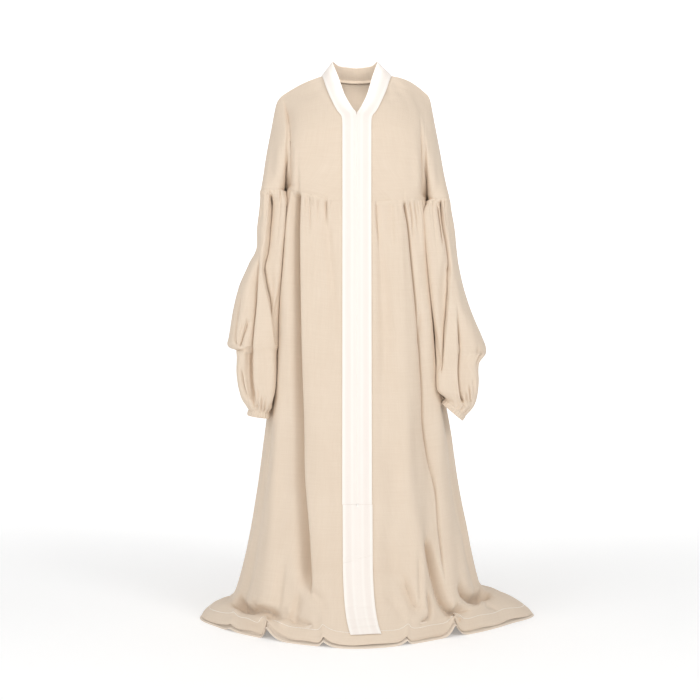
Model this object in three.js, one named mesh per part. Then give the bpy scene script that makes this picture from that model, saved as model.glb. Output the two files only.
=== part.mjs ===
// Prayer dress in cloth: a gathered ankle-length skirt and gathered bishop sleeves hang from a
// yoke whose upper sleeves are cut in one with it, and an ivory band runs round the neck and
// down the front. It stands filled out as worn, its hem spread on the floor.
//
// Millimetres, +Z up. The front faces -Y, so the wearer's right is at -X. Heights are measured
// from the floor, and the whole is then lowered so that the origin lies between the wearer's
// shoulders, level with the two points where the shoulder seams meet the neck band.

import * as THREE from "three";

// Driving dimensions
const SHOULDER_HEIGHT = 1396; // where the shoulder seams meet the neck band
const NECK_HALF_WIDTH = 87; // neckline at those points, from the centre
const NECK_BACK_DEPTH = 62; // neckline at the centre back
const NECK_BACK_HEIGHT = 1387;
const BAND_HALF_WIDTH = 35.5; // the band down the front, from the centre line
const BAND_LAP = 6; // cloth edge that lies under the band
const OPENING_END = 331; // height of the bottom of the front opening
const PIECING_HEIGHT = 201; // slanted join in the band near the hem
const PIECING_SLANT = 9; // half the difference in height across that join
const BAND_FOOT = 0.8; // where the band ends on the floor, from the break to the hem
const BAND_DRIFT = 20; // how far the band's foot lies to the wearer's left
const BAND_TOP_LAP = 3; // the same lap at the back of the neck
const TAPE_HALF_WIDTH = 14;
const CLOTH = 1.5;
const BAND_CLOTH = 2;
const TAPE_CLOTH = 1;
const SEAM_GAP = 0.3;
const LAP_SPACE = 1; // between the band and the cloth that it lies on
const BAND_LIFT = CLOTH / 2 + LAP_SPACE + BAND_CLOTH / 2;
const FOOT_LIFT = BAND_LIFT + 1; // the same where the band rides over the folds at the floor
const CUFF_DEPTH = 13;
const CUFF_CLOTH = 2.4;
const SHOULDER_BUMP = { right: 5, left: 11 }; // rise of each shoulder seam over a straight line
const COLLAR_SHIFT = -5; // how far the collar's free edge leans to the wearer's right
const SHOULDER_ROLL = 150; // drop in which the cloth turns from the seam to the chest
const PINCH_START = 1335; // height where the crease between arm and body begins
const UNDERARM_GAP = 2; // half the space between body and sleeve at the underarm
const SPREAD_CURVE = 2.15; // how late the cloth on the floor turns down to its edge
const HEM_EDGE_HEIGHT = 5;
const FACING_SPACE = 0.8; // between the skirt's cloth and the hem facing
const FACING_ROWS = 2; // rows of the skirt's mesh, up from the edge, that the facing lies under
const FACING_CLOTH = 1;
const COLLAR_FACING_LOW = 0.24; // edges of the collar's facing across the band
const COLLAR_FACING_HIGH = 0.95;
const SEAM_CORNER = 3.6; // how square the body's and sleeves' sections are at the yoke seam
const FAN_POWER = 0.8; // how soon the folds open out below the seam

const RIGHT = -1; // the wearer's right side, at -X
const LEFT = 1;

// Overarm line below the shoulder corner: distance from the centre on each side.
const OVERARM = [
  { height: 1346, right: 191, left: 183 },
  { height: 1331, right: 202, left: 188 },
  { height: 1311, right: 208, left: 192 },
  { height: 1259, right: 218, left: 202 },
  { height: 1197, right: 230, left: 214 },
  { height: 1135, right: 239, left: 225 },
  { height: 1104, right: 243, left: 231 },
  { height: 1080, right: 245, left: 236 },
];

// Crease between arm and body, from the centre.
const ARM_CREASE = [
  { height: 1350, right: 180, left: 171 },
  { height: 1255, right: 175, left: 171 },
  { height: 1080, right: 181, left: 179 },
];

// Depth of the chest and of the back from the plane of the shoulder seams.
const BODY_DEPTH = [
  { height: 1396, front: 100, back: 86 },
  { height: 1290, front: 106, back: 92 },
  { height: 1200, front: 110, back: 93 },
  { height: 1080, front: 106, back: 88 },
];
const ARM_DEPTH = 80; // half the depth of the sleeve at the yoke seam

// Neckline in front: the outer edge of the band, from the centre.
const FRONT_NECKLINE = [
  { height: 1396, out: 87 },
  { height: 1355, out: 75 },
  { height: 1320, out: 61 },
  { height: 1296, out: 49 },
  { height: 1280, out: 37.5 },
  { height: 1262, out: 35.5 },
];
const NECKLINE_FOOT = 1280; // height where the band's outer edge turns straight down

// Height of the yoke seam, from the right sleeve across the front to the left sleeve.
const YOKE_SEAM = [
  { across: -250, front: 1104, back: 1104 },
  { across: -182, front: 1102, back: 1102 },
  { across: -150, front: 1096, back: 1096 },
  { across: -120, front: 1089, back: 1091 },
  { across: -90, front: 1080, back: 1087 },
  { across: -38, front: 1072, back: 1081 },
  { across: 38, front: 1071, back: 1076 },
  { across: 100, front: 1073, back: 1075 },
  { across: 178, front: 1078, back: 1078 },
  { across: 240, front: 1083, back: 1083 },
];

// Free edge of the neck band, with the neckline height that each point stands over in front.
const COLLAR_EDGE = [
  { part: 0, out: 0, back: 50, height: 1425 },
  { part: 0.5, out: 41, back: 35, height: 1428 },
  { part: 1, out: 57, back: 0, height: 1432 },
  { part: 1.35, out: 42.5, back: -37, height: 1386 },
  { part: 1.65, out: 27.5, back: -66, height: 1338 },
  { part: 1.85, out: 11.5, back: -87, height: 1306 },
  { part: 2, out: 0.3, back: -98, height: 1290 },
];

// Sections of the skirt from the yoke seam (fall 0) to where it meets the floor (fall 1).
const SKIRT = [
  { fall: 0, right: 179, left: 177, front: 106, back: 88 },
  { fall: 0.06, right: 184.5, left: 184, front: 119, back: 103 },
  { fall: 0.14, right: 189.5, left: 188, front: 133, back: 119 },
  { fall: 0.24, right: 197, left: 197, front: 149, back: 136 },
  { fall: 0.36, right: 205, left: 207, front: 167, back: 155 },
  { fall: 0.46, right: 217, left: 218, front: 182, back: 171 },
  { fall: 0.6, right: 237, left: 243, front: 204, back: 196 },
  { fall: 0.72, right: 254, left: 261, front: 221, back: 217 },
  { fall: 0.84, right: 275, left: 284, front: 237, back: 240 },
  { fall: 0.94, right: 300, left: 306, front: 249, back: 262 },
  { fall: 1, right: 321, left: 322, front: 257, back: 280 },
];

// The cloth on the floor, by direction from the front: reach of the hem, height of the break.
const FLOOR = [
  { at: -180, reach: 372, rise: 56 },
  { at: -140, reach: 352, rise: 50 },
  { at: -110, reach: 388, rise: 48 },
  { at: -90, reach: 402, rise: 52 },
  { at: -74, reach: 362, rise: 60 },
  { at: -50, reach: 318, rise: 56 },
  { at: -22, reach: 309, rise: 58 },
  { at: 0, reach: 320, rise: 66 },
  { at: 28, reach: 302, rise: 60 },
  { at: 44, reach: 302, rise: 58 },
  { at: 61, reach: 334, rise: 66 },
  { at: 80, reach: 390, rise: 74 },
  { at: 95, reach: 462, rise: 72 },
  { at: 118, reach: 412, rise: 60 },
  { at: 145, reach: 362, rise: 54 },
  { at: 180, reach: 372, rise: 56 },
];

// Where the folds sit at the seam for each direction at the floor.
const FAN = [
  { at: -180, seam: -180 },
  { at: -135, seam: -128 },
  { at: -90, seam: -90 },
  { at: -50, seam: -72 },
  { at: -24, seam: -55 },
  { at: -10, seam: -24 },
  { at: 0, seam: 0 },
  { at: 12, seam: 20 },
  { at: 40, seam: 42 },
  { at: 90, seam: 90 },
  { at: 135, seam: 128 },
  { at: 180, seam: 180 },
];

// Largest folds of the skirt: direction at the floor, half width in degrees, depth inwards
// just below the gathers, halfway down and at the floor. Outward rolls are below nought.
const SKIRT_FOLDS = [
  { at: -165, half: 8, high: 9, middle: 22, low: 26 },
  { at: -138, half: 7, high: 11, middle: 24, low: 30 },
  { at: -122, half: 8, high: -4, middle: -8, low: -10 },
  { at: -108, half: 6, high: 7, middle: 14, low: 20 },
  { at: -68, half: 7, high: 3, middle: 8, low: 14 },
  { at: -45, half: 8, high: -3, middle: -6, low: -8 },
  { at: -24, half: 5, high: 12, middle: 22, low: 26 },
  { at: -13, half: 5, high: -2, middle: -5, low: -8 },
  { at: 16, half: 5, high: 3, middle: 5, low: 6 },
  { at: 28, half: 6, high: -3, middle: -6, low: -8 },
  { at: 41, half: 5, high: 8, middle: 14, low: 20 },
  { at: 60, half: 8, high: -3, middle: -6, low: -6 },
  { at: 76, half: 6, high: 4, middle: 9, low: 14 },
  { at: 106, half: 6, high: 8, middle: 16, low: 22 },
  { at: 124, half: 8, high: -4, middle: -8, low: -10 },
  { at: 143, half: 7, high: 10, middle: 24, low: 28 },
  { at: 168, half: 7, high: 8, middle: 18, low: 24 },
];

// Pinches that lift the hem off the floor.
const HEM_PINCHES = [
  { at: -150, half: 5, lift: 26 },
  { at: -118, half: 5, lift: 18 },
  { at: -66, half: 4, lift: 8 },
  { at: -45, half: 3.5, lift: 30 },
  { at: -16, half: 3.5, lift: 15 },
  { at: 24, half: 3.5, lift: 13 },
  { at: 52, half: 4, lift: 26 },
  { at: 112, half: 5, lift: 22 },
  { at: 138, half: 5, lift: 16 },
  { at: 166, half: 5, lift: 28 },
];

// Sections of the gathered sleeves: centre from the midline and in depth, half sizes, and the
// lean of the section towards the body.
const RIGHT_SLEEVE = [
  { height: 1073, out: 216, depth: 0, wide: 31, deep: 86, lean: 0 },
  { height: 1011, out: 222, depth: -3, wide: 33, deep: 92, lean: 0 },
  { height: 955, out: 225.5, depth: -8, wide: 31, deep: 95, lean: 0 },
  { height: 915, out: 236, depth: -13, wide: 39, deep: 97, lean: 0 },
  { height: 856, out: 251, depth: -22, wide: 50, deep: 96, lean: 0 },
  { height: 795, out: 260, depth: -31, wide: 55, deep: 91, lean: 0 },
  { height: 735, out: 265, depth: -41, wide: 59, deep: 86, lean: 0 },
  { height: 710, out: 266, depth: -45, wide: 60, deep: 84, lean: 0 },
  { height: 694, out: 256, depth: -48, wide: 46, deep: 80, lean: 0 },
  { height: 642, out: 255, depth: -60, wide: 46, deep: 73, lean: 0 },
  { height: 585, out: 252, depth: -76, wide: 40, deep: 64, lean: -2 },
  { height: 560, out: 246, depth: -84, wide: 34, deep: 49, lean: -5 },
  { height: 546, out: 245, depth: -88, wide: 26, deep: 34, lean: -8 },
];
const LEFT_SLEEVE = [
  { height: 1050, out: 212, depth: 0, wide: 29, deep: 86, lean: 0 },
  { height: 1005, out: 218, depth: -3, wide: 31, deep: 92, lean: 0 },
  { height: 949, out: 223, depth: -9, wide: 31, deep: 95, lean: 0 },
  { height: 905, out: 228, depth: -14, wide: 32, deep: 97, lean: 0 },
  { height: 856, out: 236, depth: -22, wide: 36, deep: 96, lean: 0 },
  { height: 795, out: 247, depth: -31, wide: 44, deep: 92, lean: 0 },
  { height: 735, out: 260, depth: -42, wide: 56, deep: 87, lean: 0 },
  { height: 699, out: 266, depth: -50, wide: 61, deep: 84, lean: 2 },
  { height: 668, out: 258, depth: -56, wide: 50, deep: 79, lean: 3 },
  { height: 624, out: 257, depth: -67, wide: 50, deep: 72, lean: 4 },
  { height: 595, out: 256, depth: -77, wide: 48, deep: 66, lean: 8 },
  { height: 575, out: 254, depth: -87, wide: 43, deep: 52, lean: 22 },
  { height: 556, out: 246, depth: -95, wide: 33, deep: 35, lean: 40 },
];

// Largest folds of the sleeves: direction round the section, with the front at 0 and outward
// at 90, half width in degrees, depth inwards at the seam and at the cuff.
const SLEEVE_FOLDS = [
  { at: -45, half: 15, high: -3, low: 1 },
  { at: 12, half: 13, high: 6, low: 9 },
  { at: 62, half: 18, high: -3, low: -5 },
  { at: 108, half: 14, high: 4, low: 8 },
  { at: 152, half: 14, high: 5, low: 7 },
];

// Columns and rows of the meshes. The skirt and the yoke above it share their columns.
const FRONT_COLUMNS = 12;
const BACK_COLUMNS = 18;
const FALL_ROWS = 10;
const SPREAD_ROWS = 4;
const YOKE_ROWS = 8;
const ARM_COLUMNS = 8;
const NECK_COLUMN = 5; // back column that starts where the shoulder seam meets the band
const BAND_COLUMNS = 2;
const COLLAR_ROWS = 6; // from the centre back to the shoulder seam
const FOOT_ROWS = 3;
const STEP = 1e-3; // step for the slope of a surface

const CLOTH_COLOUR = "#dccbb5";
const LINING_COLOUR = "#d6c3ab";
const IVORY_COLOUR = "#f6f1ea";

function mix(from, to, part) {
  return from + (to - from) * part;
}

function clamp(value) {
  return Math.min(1, Math.max(0, value));
}

function smooth(value) {
  const part = clamp(value);
  return part * part * (3 - 2 * part);
}

// Value of one column of a table at a place between its rows, as a smooth curve.
function along(rows, key, at, column) {
  const rising = rows[rows.length - 1][key] > rows[0][key];
  let last = rows.length - 2;
  let row = 0;
  while (row < last && (rising ? at > rows[row + 1][key] : at < rows[row + 1][key])) row += 1;
  const slope = (index) => {
    const before = rows[Math.max(0, index - 1)];
    const after = rows[Math.min(rows.length - 1, index + 1)];
    return (after[column] - before[column]) / (after[key] - before[key]);
  };
  const low = rows[row];
  const high = rows[row + 1];
  const span = high[key] - low[key];
  const part = clamp((at - low[key]) / span);
  const square = part * part;
  const cube = square * part;
  return (
    (2 * cube - 3 * square + 1) * low[column] +
    (cube - 2 * square + part) * span * slope(row) +
    (3 * square - 2 * cube) * high[column] +
    (cube - square) * span * slope(row + 1)
  );
}

// Difference between two directions, the short way round.
function between(direction, other) {
  return ((direction - other + 540) % 360) - 180;
}

function named(side) {
  return side === RIGHT ? "right" : "left";
}

// Turns a direction square to an axis, where one is given.
function flatten(normal, axis) {
  if (axis) normal.addScaledVector(axis, -normal.dot(axis)).normalize();
}

// Closed wall of cloth over a grid of points, or over its rows from `start` on. Its middle
// stands `inset` off the grid. Along a seam the edge stands square to the given axis, so that
// the neighbour can meet it face to face.
function wall(grid, thickness, { square = {}, closed = false, inset = 0, start = 0 } = {}) {
  const rows = grid.length;
  const columns = grid[0].length;
  const wrap = (column) => (closed ? (column + columns) % columns : column);
  const inside = (value, count) => Math.min(count - 1, Math.max(0, value));
  const at = (row, column) =>
    grid[inside(row, rows)][closed ? wrap(column) : inside(column, columns)];
  const positions = [];
  const outer = [];
  const inner = [];
  for (let row = start; row < rows; row += 1) {
    for (let column = 0; column < columns; column += 1) {
      const down = at(row + 1, column).clone().sub(at(row - 1, column));
      const across = at(row, column + 1).clone().sub(at(row, column - 1));
      const normal = across.cross(down).normalize();
      if (row === 0) flatten(normal, square.top);
      if (row === rows - 1) flatten(normal, square.bottom);
      if (column === 0) flatten(normal, square.first);
      if (column === columns - 1) flatten(normal, square.last);
      const point = grid[row][column];
      outer.push(point.clone().addScaledVector(normal, inset - thickness / 2));
      inner.push(point.clone().addScaledVector(normal, inset + thickness / 2));
    }
  }
  for (const point of [...outer, ...inner]) positions.push(point.x, point.y, point.z);
  const kept = rows - start;
  const under = kept * columns;
  const index = [];
  const face = (a, b, c, d) => index.push(a, b, c, a, c, d);
  const spans = closed ? columns : columns - 1;
  for (let row = 0; row < kept - 1; row += 1) {
    for (let column = 0; column < spans; column += 1) {
      const a = row * columns + column;
      const b = row * columns + wrap(column + 1);
      const c = b + columns;
      const d = a + columns;
      face(a, d, c, b);
      face(under + a, under + b, under + c, under + d);
    }
  }
  for (let column = 0; column < spans; column += 1) {
    const next = wrap(column + 1);
    const foot = (kept - 1) * columns;
    face(column, next, under + next, under + column);
    face(foot + column, under + foot + column, under + foot + next, foot + next);
  }
  if (!closed) {
    for (let row = 0; row < kept - 1; row += 1) {
      const a = row * columns;
      const b = a + columns - 1;
      face(a, under + a, under + a + columns, a + columns);
      face(b, b + columns, under + b + columns, under + b);
    }
  }
  const geometry = new THREE.BufferGeometry();
  geometry.setAttribute("position", new THREE.Float32BufferAttribute(positions, 3));
  geometry.setIndex(index);
  geometry.computeVertexNormals();
  return geometry;
}

function gridOf(rows, columns, pointAt) {
  const steps = (count) => Array.from({ length: count + 1 }, (_, step) => step);
  return steps(rows).map((row) => steps(columns).map((column) => pointAt(row, column)));
}

function piece(name, geometry, colour, roughness) {
  const material = new THREE.MeshStandardMaterial({ color: colour, roughness, metalness: 0 });
  const mesh = new THREE.Mesh(geometry, material);
  mesh.name = name;
  return mesh;
}

// Direction round the body at the yoke seam of a fold that lies at `direction` at the floor.
function seamDirection(direction) {
  return along(FAN, "at", direction, "seam");
}

function seamHeight(x, face) {
  return along(YOKE_SEAM, "across", x, face);
}

function halfWidth(row, side) {
  return along(SKIRT, "fall", row, named(side));
}

// Depth of a rounded section at a share of its half width. A corner of 2 makes it an ellipse,
// and more makes it squarer.
function oval(across, corner) {
  return Math.max(0, 1 - Math.abs(across) ** corner) ** (1 / corner);
}

// Point of the skirt: direction at the floor in degrees, front at 0 and left at 90; fall from
// the seam at 0 to the break at 1; spread from the break at 0 to the hem at 1.
function skirtPoint(direction, fall, spread) {
  const turned = mix(direction, seamDirection(direction), (1 - fall) ** FAN_POWER);
  const angle = THREE.MathUtils.degToRad(turned);
  const side = direction < 0 ? RIGHT : LEFT;
  const face = Math.abs(direction) <= 90 ? "front" : "back";
  let depthIn = 0;
  for (const fold of SKIRT_FOLDS) {
    const off = between(direction, fold.at) / fold.half;
    const upper = mix(fold.high, fold.middle, smooth(fall * 2));
    const depth = mix(upper, fold.low, smooth(fall * 2 - 1));
    depthIn += depth * Math.exp(-off * off);
  }
  depthIn *= smooth(fall / 0.05);
  const across = halfWidth(fall, side) - depthIn;
  const deep = along(SKIRT, "fall", fall, face) - depthIn;
  const x = across * Math.sin(angle);
  const corner = mix(SEAM_CORNER, 2, smooth(fall / 0.2));
  const y = -deep * oval(Math.sin(angle), corner) * Math.sign(Math.cos(angle));
  const rise = along(FLOOR, "at", direction, "rise");
  const z = mix(seamHeight(x, face) - SEAM_GAP, rise, fall);
  if (spread === 0) return new THREE.Vector3(x, y, z);
  const reach = along(FLOOR, "at", direction, "reach");
  const ray = THREE.MathUtils.degToRad(direction);
  let lift = 0;
  for (const pinch of HEM_PINCHES) {
    const off = between(direction, pinch.at) / pinch.half;
    lift += pinch.lift * Math.exp(-off * off);
  }
  return new THREE.Vector3(
    mix(x, reach * Math.sin(ray), spread),
    mix(y, -reach * Math.cos(ray), spread),
    mix(z, HEM_EDGE_HEIGHT, spread ** SPREAD_CURVE) + lift * spread,
  );
}

// Rows of the skirt's mesh, as pairs of fall and spread.
function skirtRow(row) {
  if (row <= FALL_ROWS) return [(row / FALL_ROWS) ** 1.1, 0];
  return [1, (row - FALL_ROWS) / SPREAD_ROWS];
}

const X_AXIS = new THREE.Vector3(1, 0, 0);
const Y_AXIS = new THREE.Vector3(0, 1, 0);
const Z_AXIS = new THREE.Vector3(0, 0, 1);

// Direction at the floor of the skirt point that lies `out` from the centre at the front.
function directionAt(side, out, fall, spread) {
  let low = 0;
  let high = 60;
  for (let halving = 0; halving < 40; halving += 1) {
    const middle = (low + high) / 2;
    if (Math.abs(skirtPoint(side * middle, fall, spread).x) < out) low = middle;
    else high = middle;
  }
  return side * low;
}

// Directions of the front columns: the centre line, the lap under the band, then even steps
// to the side seam.
function frontDirections(side) {
  const lap = directionAt(side, BAND_HALF_WIDTH - BAND_LAP, 0, 0);
  const steps = Array.from({ length: FRONT_COLUMNS }, (_, step) => step / (FRONT_COLUMNS - 1));
  return [0, ...steps.map((step) => mix(lap, side * 90, step))];
}

function skirtFrontGrid(side) {
  const directions = frontDirections(side);
  return gridOf(FALL_ROWS + SPREAD_ROWS, FRONT_COLUMNS, (row, column) => {
    const point = skirtPoint(directions[column], ...skirtRow(row));
    if (column === 0) point.x = (side * SEAM_GAP) / 2;
    if (column === FRONT_COLUMNS) point.y -= SEAM_GAP / 2;
    return point;
  });
}

// The back columns run from the left side seam round to the right one.
function skirtBackGrid() {
  return gridOf(FALL_ROWS + SPREAD_ROWS, BACK_COLUMNS, (row, column) => {
    const turned = 90 + (180 * column) / BACK_COLUMNS;
    const point = skirtPoint(turned > 180 ? turned - 360 : turned, ...skirtRow(row));
    if (column === 0 || column === BACK_COLUMNS) point.y += SEAM_GAP / 2;
    return point;
  });
}

function skirtPieces() {
  const frontSquare = { top: Z_AXIS, first: X_AXIS, last: Y_AXIS };
  const fronts = [RIGHT, LEFT].map((side) => {
    const geometry = wall(skirtFrontGrid(side), CLOTH, { square: frontSquare });
    return piece(`skirt_front_${named(side)}`, geometry, CLOTH_COLOUR, 0.9);
  });
  const square = { top: Z_AXIS, first: Y_AXIS, last: Y_AXIS };
  const back = wall(skirtBackGrid(), CLOTH, { square });
  return [...fronts, piece("skirt_back", back, CLOTH_COLOUR, 0.9)];
}

// Second layer of the hem, under the skirt's edge.
function hemFacings() {
  const start = FALL_ROWS + SPREAD_ROWS - FACING_ROWS;
  const inset = CLOTH / 2 + FACING_SPACE + FACING_CLOTH / 2;
  const fronts = [RIGHT, LEFT].map((side) => {
    const square = { first: X_AXIS, last: Y_AXIS };
    const options = { square, start, inset: side * inset };
    const geometry = wall(skirtFrontGrid(side), FACING_CLOTH, options);
    return piece(`hem_facing_front_${named(side)}`, geometry, LINING_COLOUR, 0.9);
  });
  const square = { first: Y_AXIS, last: Y_AXIS };
  const back = wall(skirtBackGrid(), FACING_CLOTH, { square, start, inset });
  return [...fronts, piece("hem_facing_back", back, LINING_COLOUR, 0.9)];
}

function necklineOut(height) {
  return along(FRONT_NECKLINE, "height", height, "out");
}

// Height of the shoulder seam, or of the back neckline inside it.
function shoulderHeight(side, out, face) {
  const corner = OVERARM[0];
  const reach = clamp((out - NECK_HALF_WIDTH) / (corner[named(side)] - NECK_HALF_WIDTH));
  if (reach > 0 || face === "front") {
    const bump = SHOULDER_BUMP[named(side)] * Math.sin(Math.PI * reach);
    return mix(SHOULDER_HEIGHT, corner.height, reach) + bump;
  }
  const round = (out / NECK_HALF_WIDTH) ** 2;
  return mix(NECK_BACK_HEIGHT + BAND_TOP_LAP, SHOULDER_HEIGHT, round);
}

function necklineDepth(out) {
  return NECK_BACK_DEPTH * Math.sqrt(Math.max(0, 1 - (out / NECK_HALF_WIDTH) ** 2));
}

// Depth of the yoke from the plane of the shoulder seams: it rounds over the shoulder, and
// lower down a crease parts the oval of the arm from the oval of the body.
function yokeDepth(side, face, out, height, drop, armPart, topDepth) {
  const ridge = along(OVERARM, "height", height, named(side));
  const crease = along(ARM_CREASE, "height", height, named(side));
  const body = along(BODY_DEPTH, "height", height, face);
  const whole = body * Math.sqrt(Math.max(0, 1 - (out / ridge) ** 3));
  const halfBody = crease - UNDERARM_GAP;
  const seamDepth = SKIRT[0][face];
  const bodyPart = seamDepth * oval(out / halfBody, SEAM_CORNER);
  const armOut = armPart === null ? 0 : Math.cos(Math.PI * armPart);
  const parted = armPart === null ? bodyPart : ARM_DEPTH * oval(armOut, SEAM_CORNER);
  const seam = seamHeight(side * out, face);
  const pinch = clamp((PINCH_START - height) / (PINCH_START - seam)) ** 4;
  const roll = Math.sin((Math.PI / 2) * clamp(drop / SHOULDER_ROLL) ** 0.9);
  return mix(topDepth, mix(whole, parted, pinch), roll);
}

// Point of the yoke. Across runs from 0 at the neck and centre to 1 at the underarm crease,
// and on over the arm to 2 at the overarm line; down from the shoulder to the yoke seam.
function yokePoint(side, face, bodyOut, armPart, down) {
  const front = face === "front";
  const onArm = armPart !== null;
  const step = onArm ? (1 - Math.cos(Math.PI * armPart)) / 2 : 0;
  const seamRidge = seamArm(side).outer;
  const seamInner = seamArm(side).inner;
  const bottomOut = onArm ? mix(seamInner, seamRidge, step) : bodyOut;
  const bottom = seamHeight(side * bottomOut, face);
  const halfBody = halfWidth(0, side);
  const firstBottom = front ? BAND_HALF_WIDTH - BAND_LAP : 0;
  const firstTop = front ? NECK_HALF_WIDTH - BAND_LAP : 0;
  const part = (bodyOut - firstBottom) / (halfBody - firstBottom);
  const topCrease = ARM_CREASE[0][named(side)];
  const topRidge = OVERARM[0][named(side)];
  let topOut = mix(firstTop, topCrease - UNDERARM_GAP, part);
  if (!front && !onArm) topOut = backTopOut(side, part);
  if (onArm) topOut = mix(topCrease + UNDERARM_GAP, topRidge, step);
  const top = shoulderHeight(side, topOut, face);
  const height = mix(top, bottom, down);
  const firstHeight = mix(SHOULDER_HEIGHT, seamHeight(side * BAND_HALF_WIDTH, face), down);
  const ridgeHeight = mix(OVERARM[0].height, seamHeight(side * seamRidge, face), down);
  const first = front ? necklineOut(firstHeight) - BAND_LAP : 0;
  const crease = along(ARM_CREASE, "height", height, named(side));
  const ridge = along(OVERARM, "height", ridgeHeight, named(side));
  let out = mix(first, crease - UNDERARM_GAP, part);
  if (!front && !onArm) out = mix(topOut, bodyOut, smooth(down * 2));
  if (onArm) out = mix(crease + UNDERARM_GAP, ridge, step);
  const onRidge = onArm && armPart === 1;
  const least = onRidge || down === 0 ? SEAM_GAP / 2 : (CLOTH + SEAM_GAP) / 2;
  const topDepth = front || onArm || topOut > NECK_HALF_WIDTH ? 0 : necklineDepth(topOut);
  let depth = yokeDepth(side, face, out, height, top - height, armPart, topDepth);
  if (onRidge) depth = 0;
  depth = Math.max(depth, least);
  return new THREE.Vector3(side * out, front ? -depth : depth, height);
}

// Back columns at the shoulder: one of them starts at the end of the shoulder seam.
function backTopOut(side, part) {
  const crease = ARM_CREASE[0][named(side)] - UNDERARM_GAP;
  const neck = Math.sin((Math.PI / 2) * (NECK_COLUMN / (BACK_COLUMNS / 2)));
  if (part < neck) return NECK_HALF_WIDTH * Math.sin(((Math.PI / 2) * part) / neck);
  return mix(NECK_HALF_WIDTH, crease, (part - neck) / (1 - neck));
}

// The sleeve's oval at the yoke seam: its inner and outer ends, from the centre.
function seamArm(side) {
  const height = seamHeight(side * 240, "front");
  return {
    inner: along(ARM_CREASE, "height", height, named(side)) + UNDERARM_GAP,
    outer: along(OVERARM, "height", height, named(side)),
  };
}

function bodyOutAt(side, direction) {
  const angle = THREE.MathUtils.degToRad(seamDirection(direction));
  return Math.abs(halfWidth(0, side) * Math.sin(angle));
}

function yokeDown(row) {
  return (row / YOKE_ROWS) ** 1.35;
}

function yokeFront(side) {
  const directions = frontDirections(side).slice(1);
  const columns = [...directions.map((direction) => [bodyOutAt(side, direction), null])];
  for (let step = 0; step <= ARM_COLUMNS; step += 1) columns.push([0, step / ARM_COLUMNS]);
  const grid = gridOf(YOKE_ROWS, columns.length - 1, (row, column) =>
    yokePoint(side, "front", ...columns[column], yokeDown(row)),
  );
  const square = { top: Y_AXIS, bottom: Z_AXIS, last: Y_AXIS };
  return piece(`yoke_front_${named(side)}`, wall(grid, CLOTH, { square }), CLOTH_COLOUR, 0.9);
}

function yokeBack() {
  const arm = Array.from({ length: ARM_COLUMNS + 1 }, (_, step) => [0, step / ARM_COLUMNS]);
  const half = BACK_COLUMNS / 2;
  const body = (side) =>
    Array.from({ length: half + 1 }, (_, step) => {
      const direction = side * mix(90, 180, step / half);
      return [side, bodyOutAt(side, direction), null];
    });
  const sleeve = (side) => arm.map(([out, part]) => [side, out, part]);
  const leftColumns = [...sleeve(LEFT).reverse(), ...body(LEFT)];
  const rightColumns = [...body(RIGHT).reverse().slice(1), ...sleeve(RIGHT)];
  const columns = [...leftColumns, ...rightColumns];
  const grid = gridOf(YOKE_ROWS, columns.length - 1, (row, column) => {
    const [side, out, part] = columns[column];
    return yokePoint(side, "back", out, part, yokeDown(row));
  });
  const square = { top: Y_AXIS, bottom: Z_AXIS, first: Y_AXIS, last: Y_AXIS };
  return piece("yoke_back", wall(grid, CLOTH, { square }), CLOTH_COLOUR, 0.9);
}

function sleeveRows(side) {
  return side === RIGHT ? RIGHT_SLEEVE : LEFT_SLEEVE;
}

// Point of a gathered sleeve: turn round the section, with the front at 0 and outward at 90,
// and the section's row, where row 0 is the yoke seam.
function sleevePoint(side, turn, row) {
  const angle = THREE.MathUtils.degToRad(turn);
  const rows = sleeveRows(side);
  if (row === 0) {
    const { inner, outer } = seamArm(side);
    const out = (inner + outer) / 2 + ((outer - inner) / 2) * Math.sin(angle);
    const z = seamHeight(side * out, "front") - SEAM_GAP;
    const y = -ARM_DEPTH * oval(Math.sin(angle), SEAM_CORNER) * Math.sign(Math.cos(angle));
    return new THREE.Vector3(side * out, y, z);
  }
  const section = rows[row - 1];
  const fall = row / rows.length;
  let depthIn = 0;
  for (const fold of SLEEVE_FOLDS) {
    const off = between(turn, fold.at) / fold.half;
    depthIn += mix(fold.high, fold.low, fall) * Math.exp(-off * off);
  }
  depthIn *= smooth((rows.length - row) / 2.5);
  const reach = (section.wide - depthIn) * Math.sin(angle);
  const lean = THREE.MathUtils.degToRad(section.lean);
  const corner = mix(2.6, 2.2, smooth(row / 2));
  const round = oval(Math.sin(angle), corner) * Math.sign(Math.cos(angle));
  return new THREE.Vector3(
    side * (section.out + reach * Math.cos(lean)),
    section.depth - (section.deep - depthIn) * round,
    section.height - reach * Math.sin(lean),
  );
}

function sleeveAxis(side) {
  const rows = sleeveRows(side);
  const lean = THREE.MathUtils.degToRad(rows[rows.length - 1].lean);
  return new THREE.Vector3(-side * Math.sin(lean), 0, -Math.cos(lean));
}

function sleeve(side) {
  const rows = sleeveRows(side);
  const grid = gridOf(rows.length, 2 * ARM_COLUMNS - 1, (row, column) =>
    sleevePoint(side, -90 + (180 * column) / ARM_COLUMNS, row),
  );
  const square = { top: Z_AXIS, bottom: sleeveAxis(side) };
  const geometry = wall(grid, CLOTH, { square, closed: true });
  return piece(`sleeve_${named(side)}`, geometry, CLOTH_COLOUR, 0.9);
}

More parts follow.
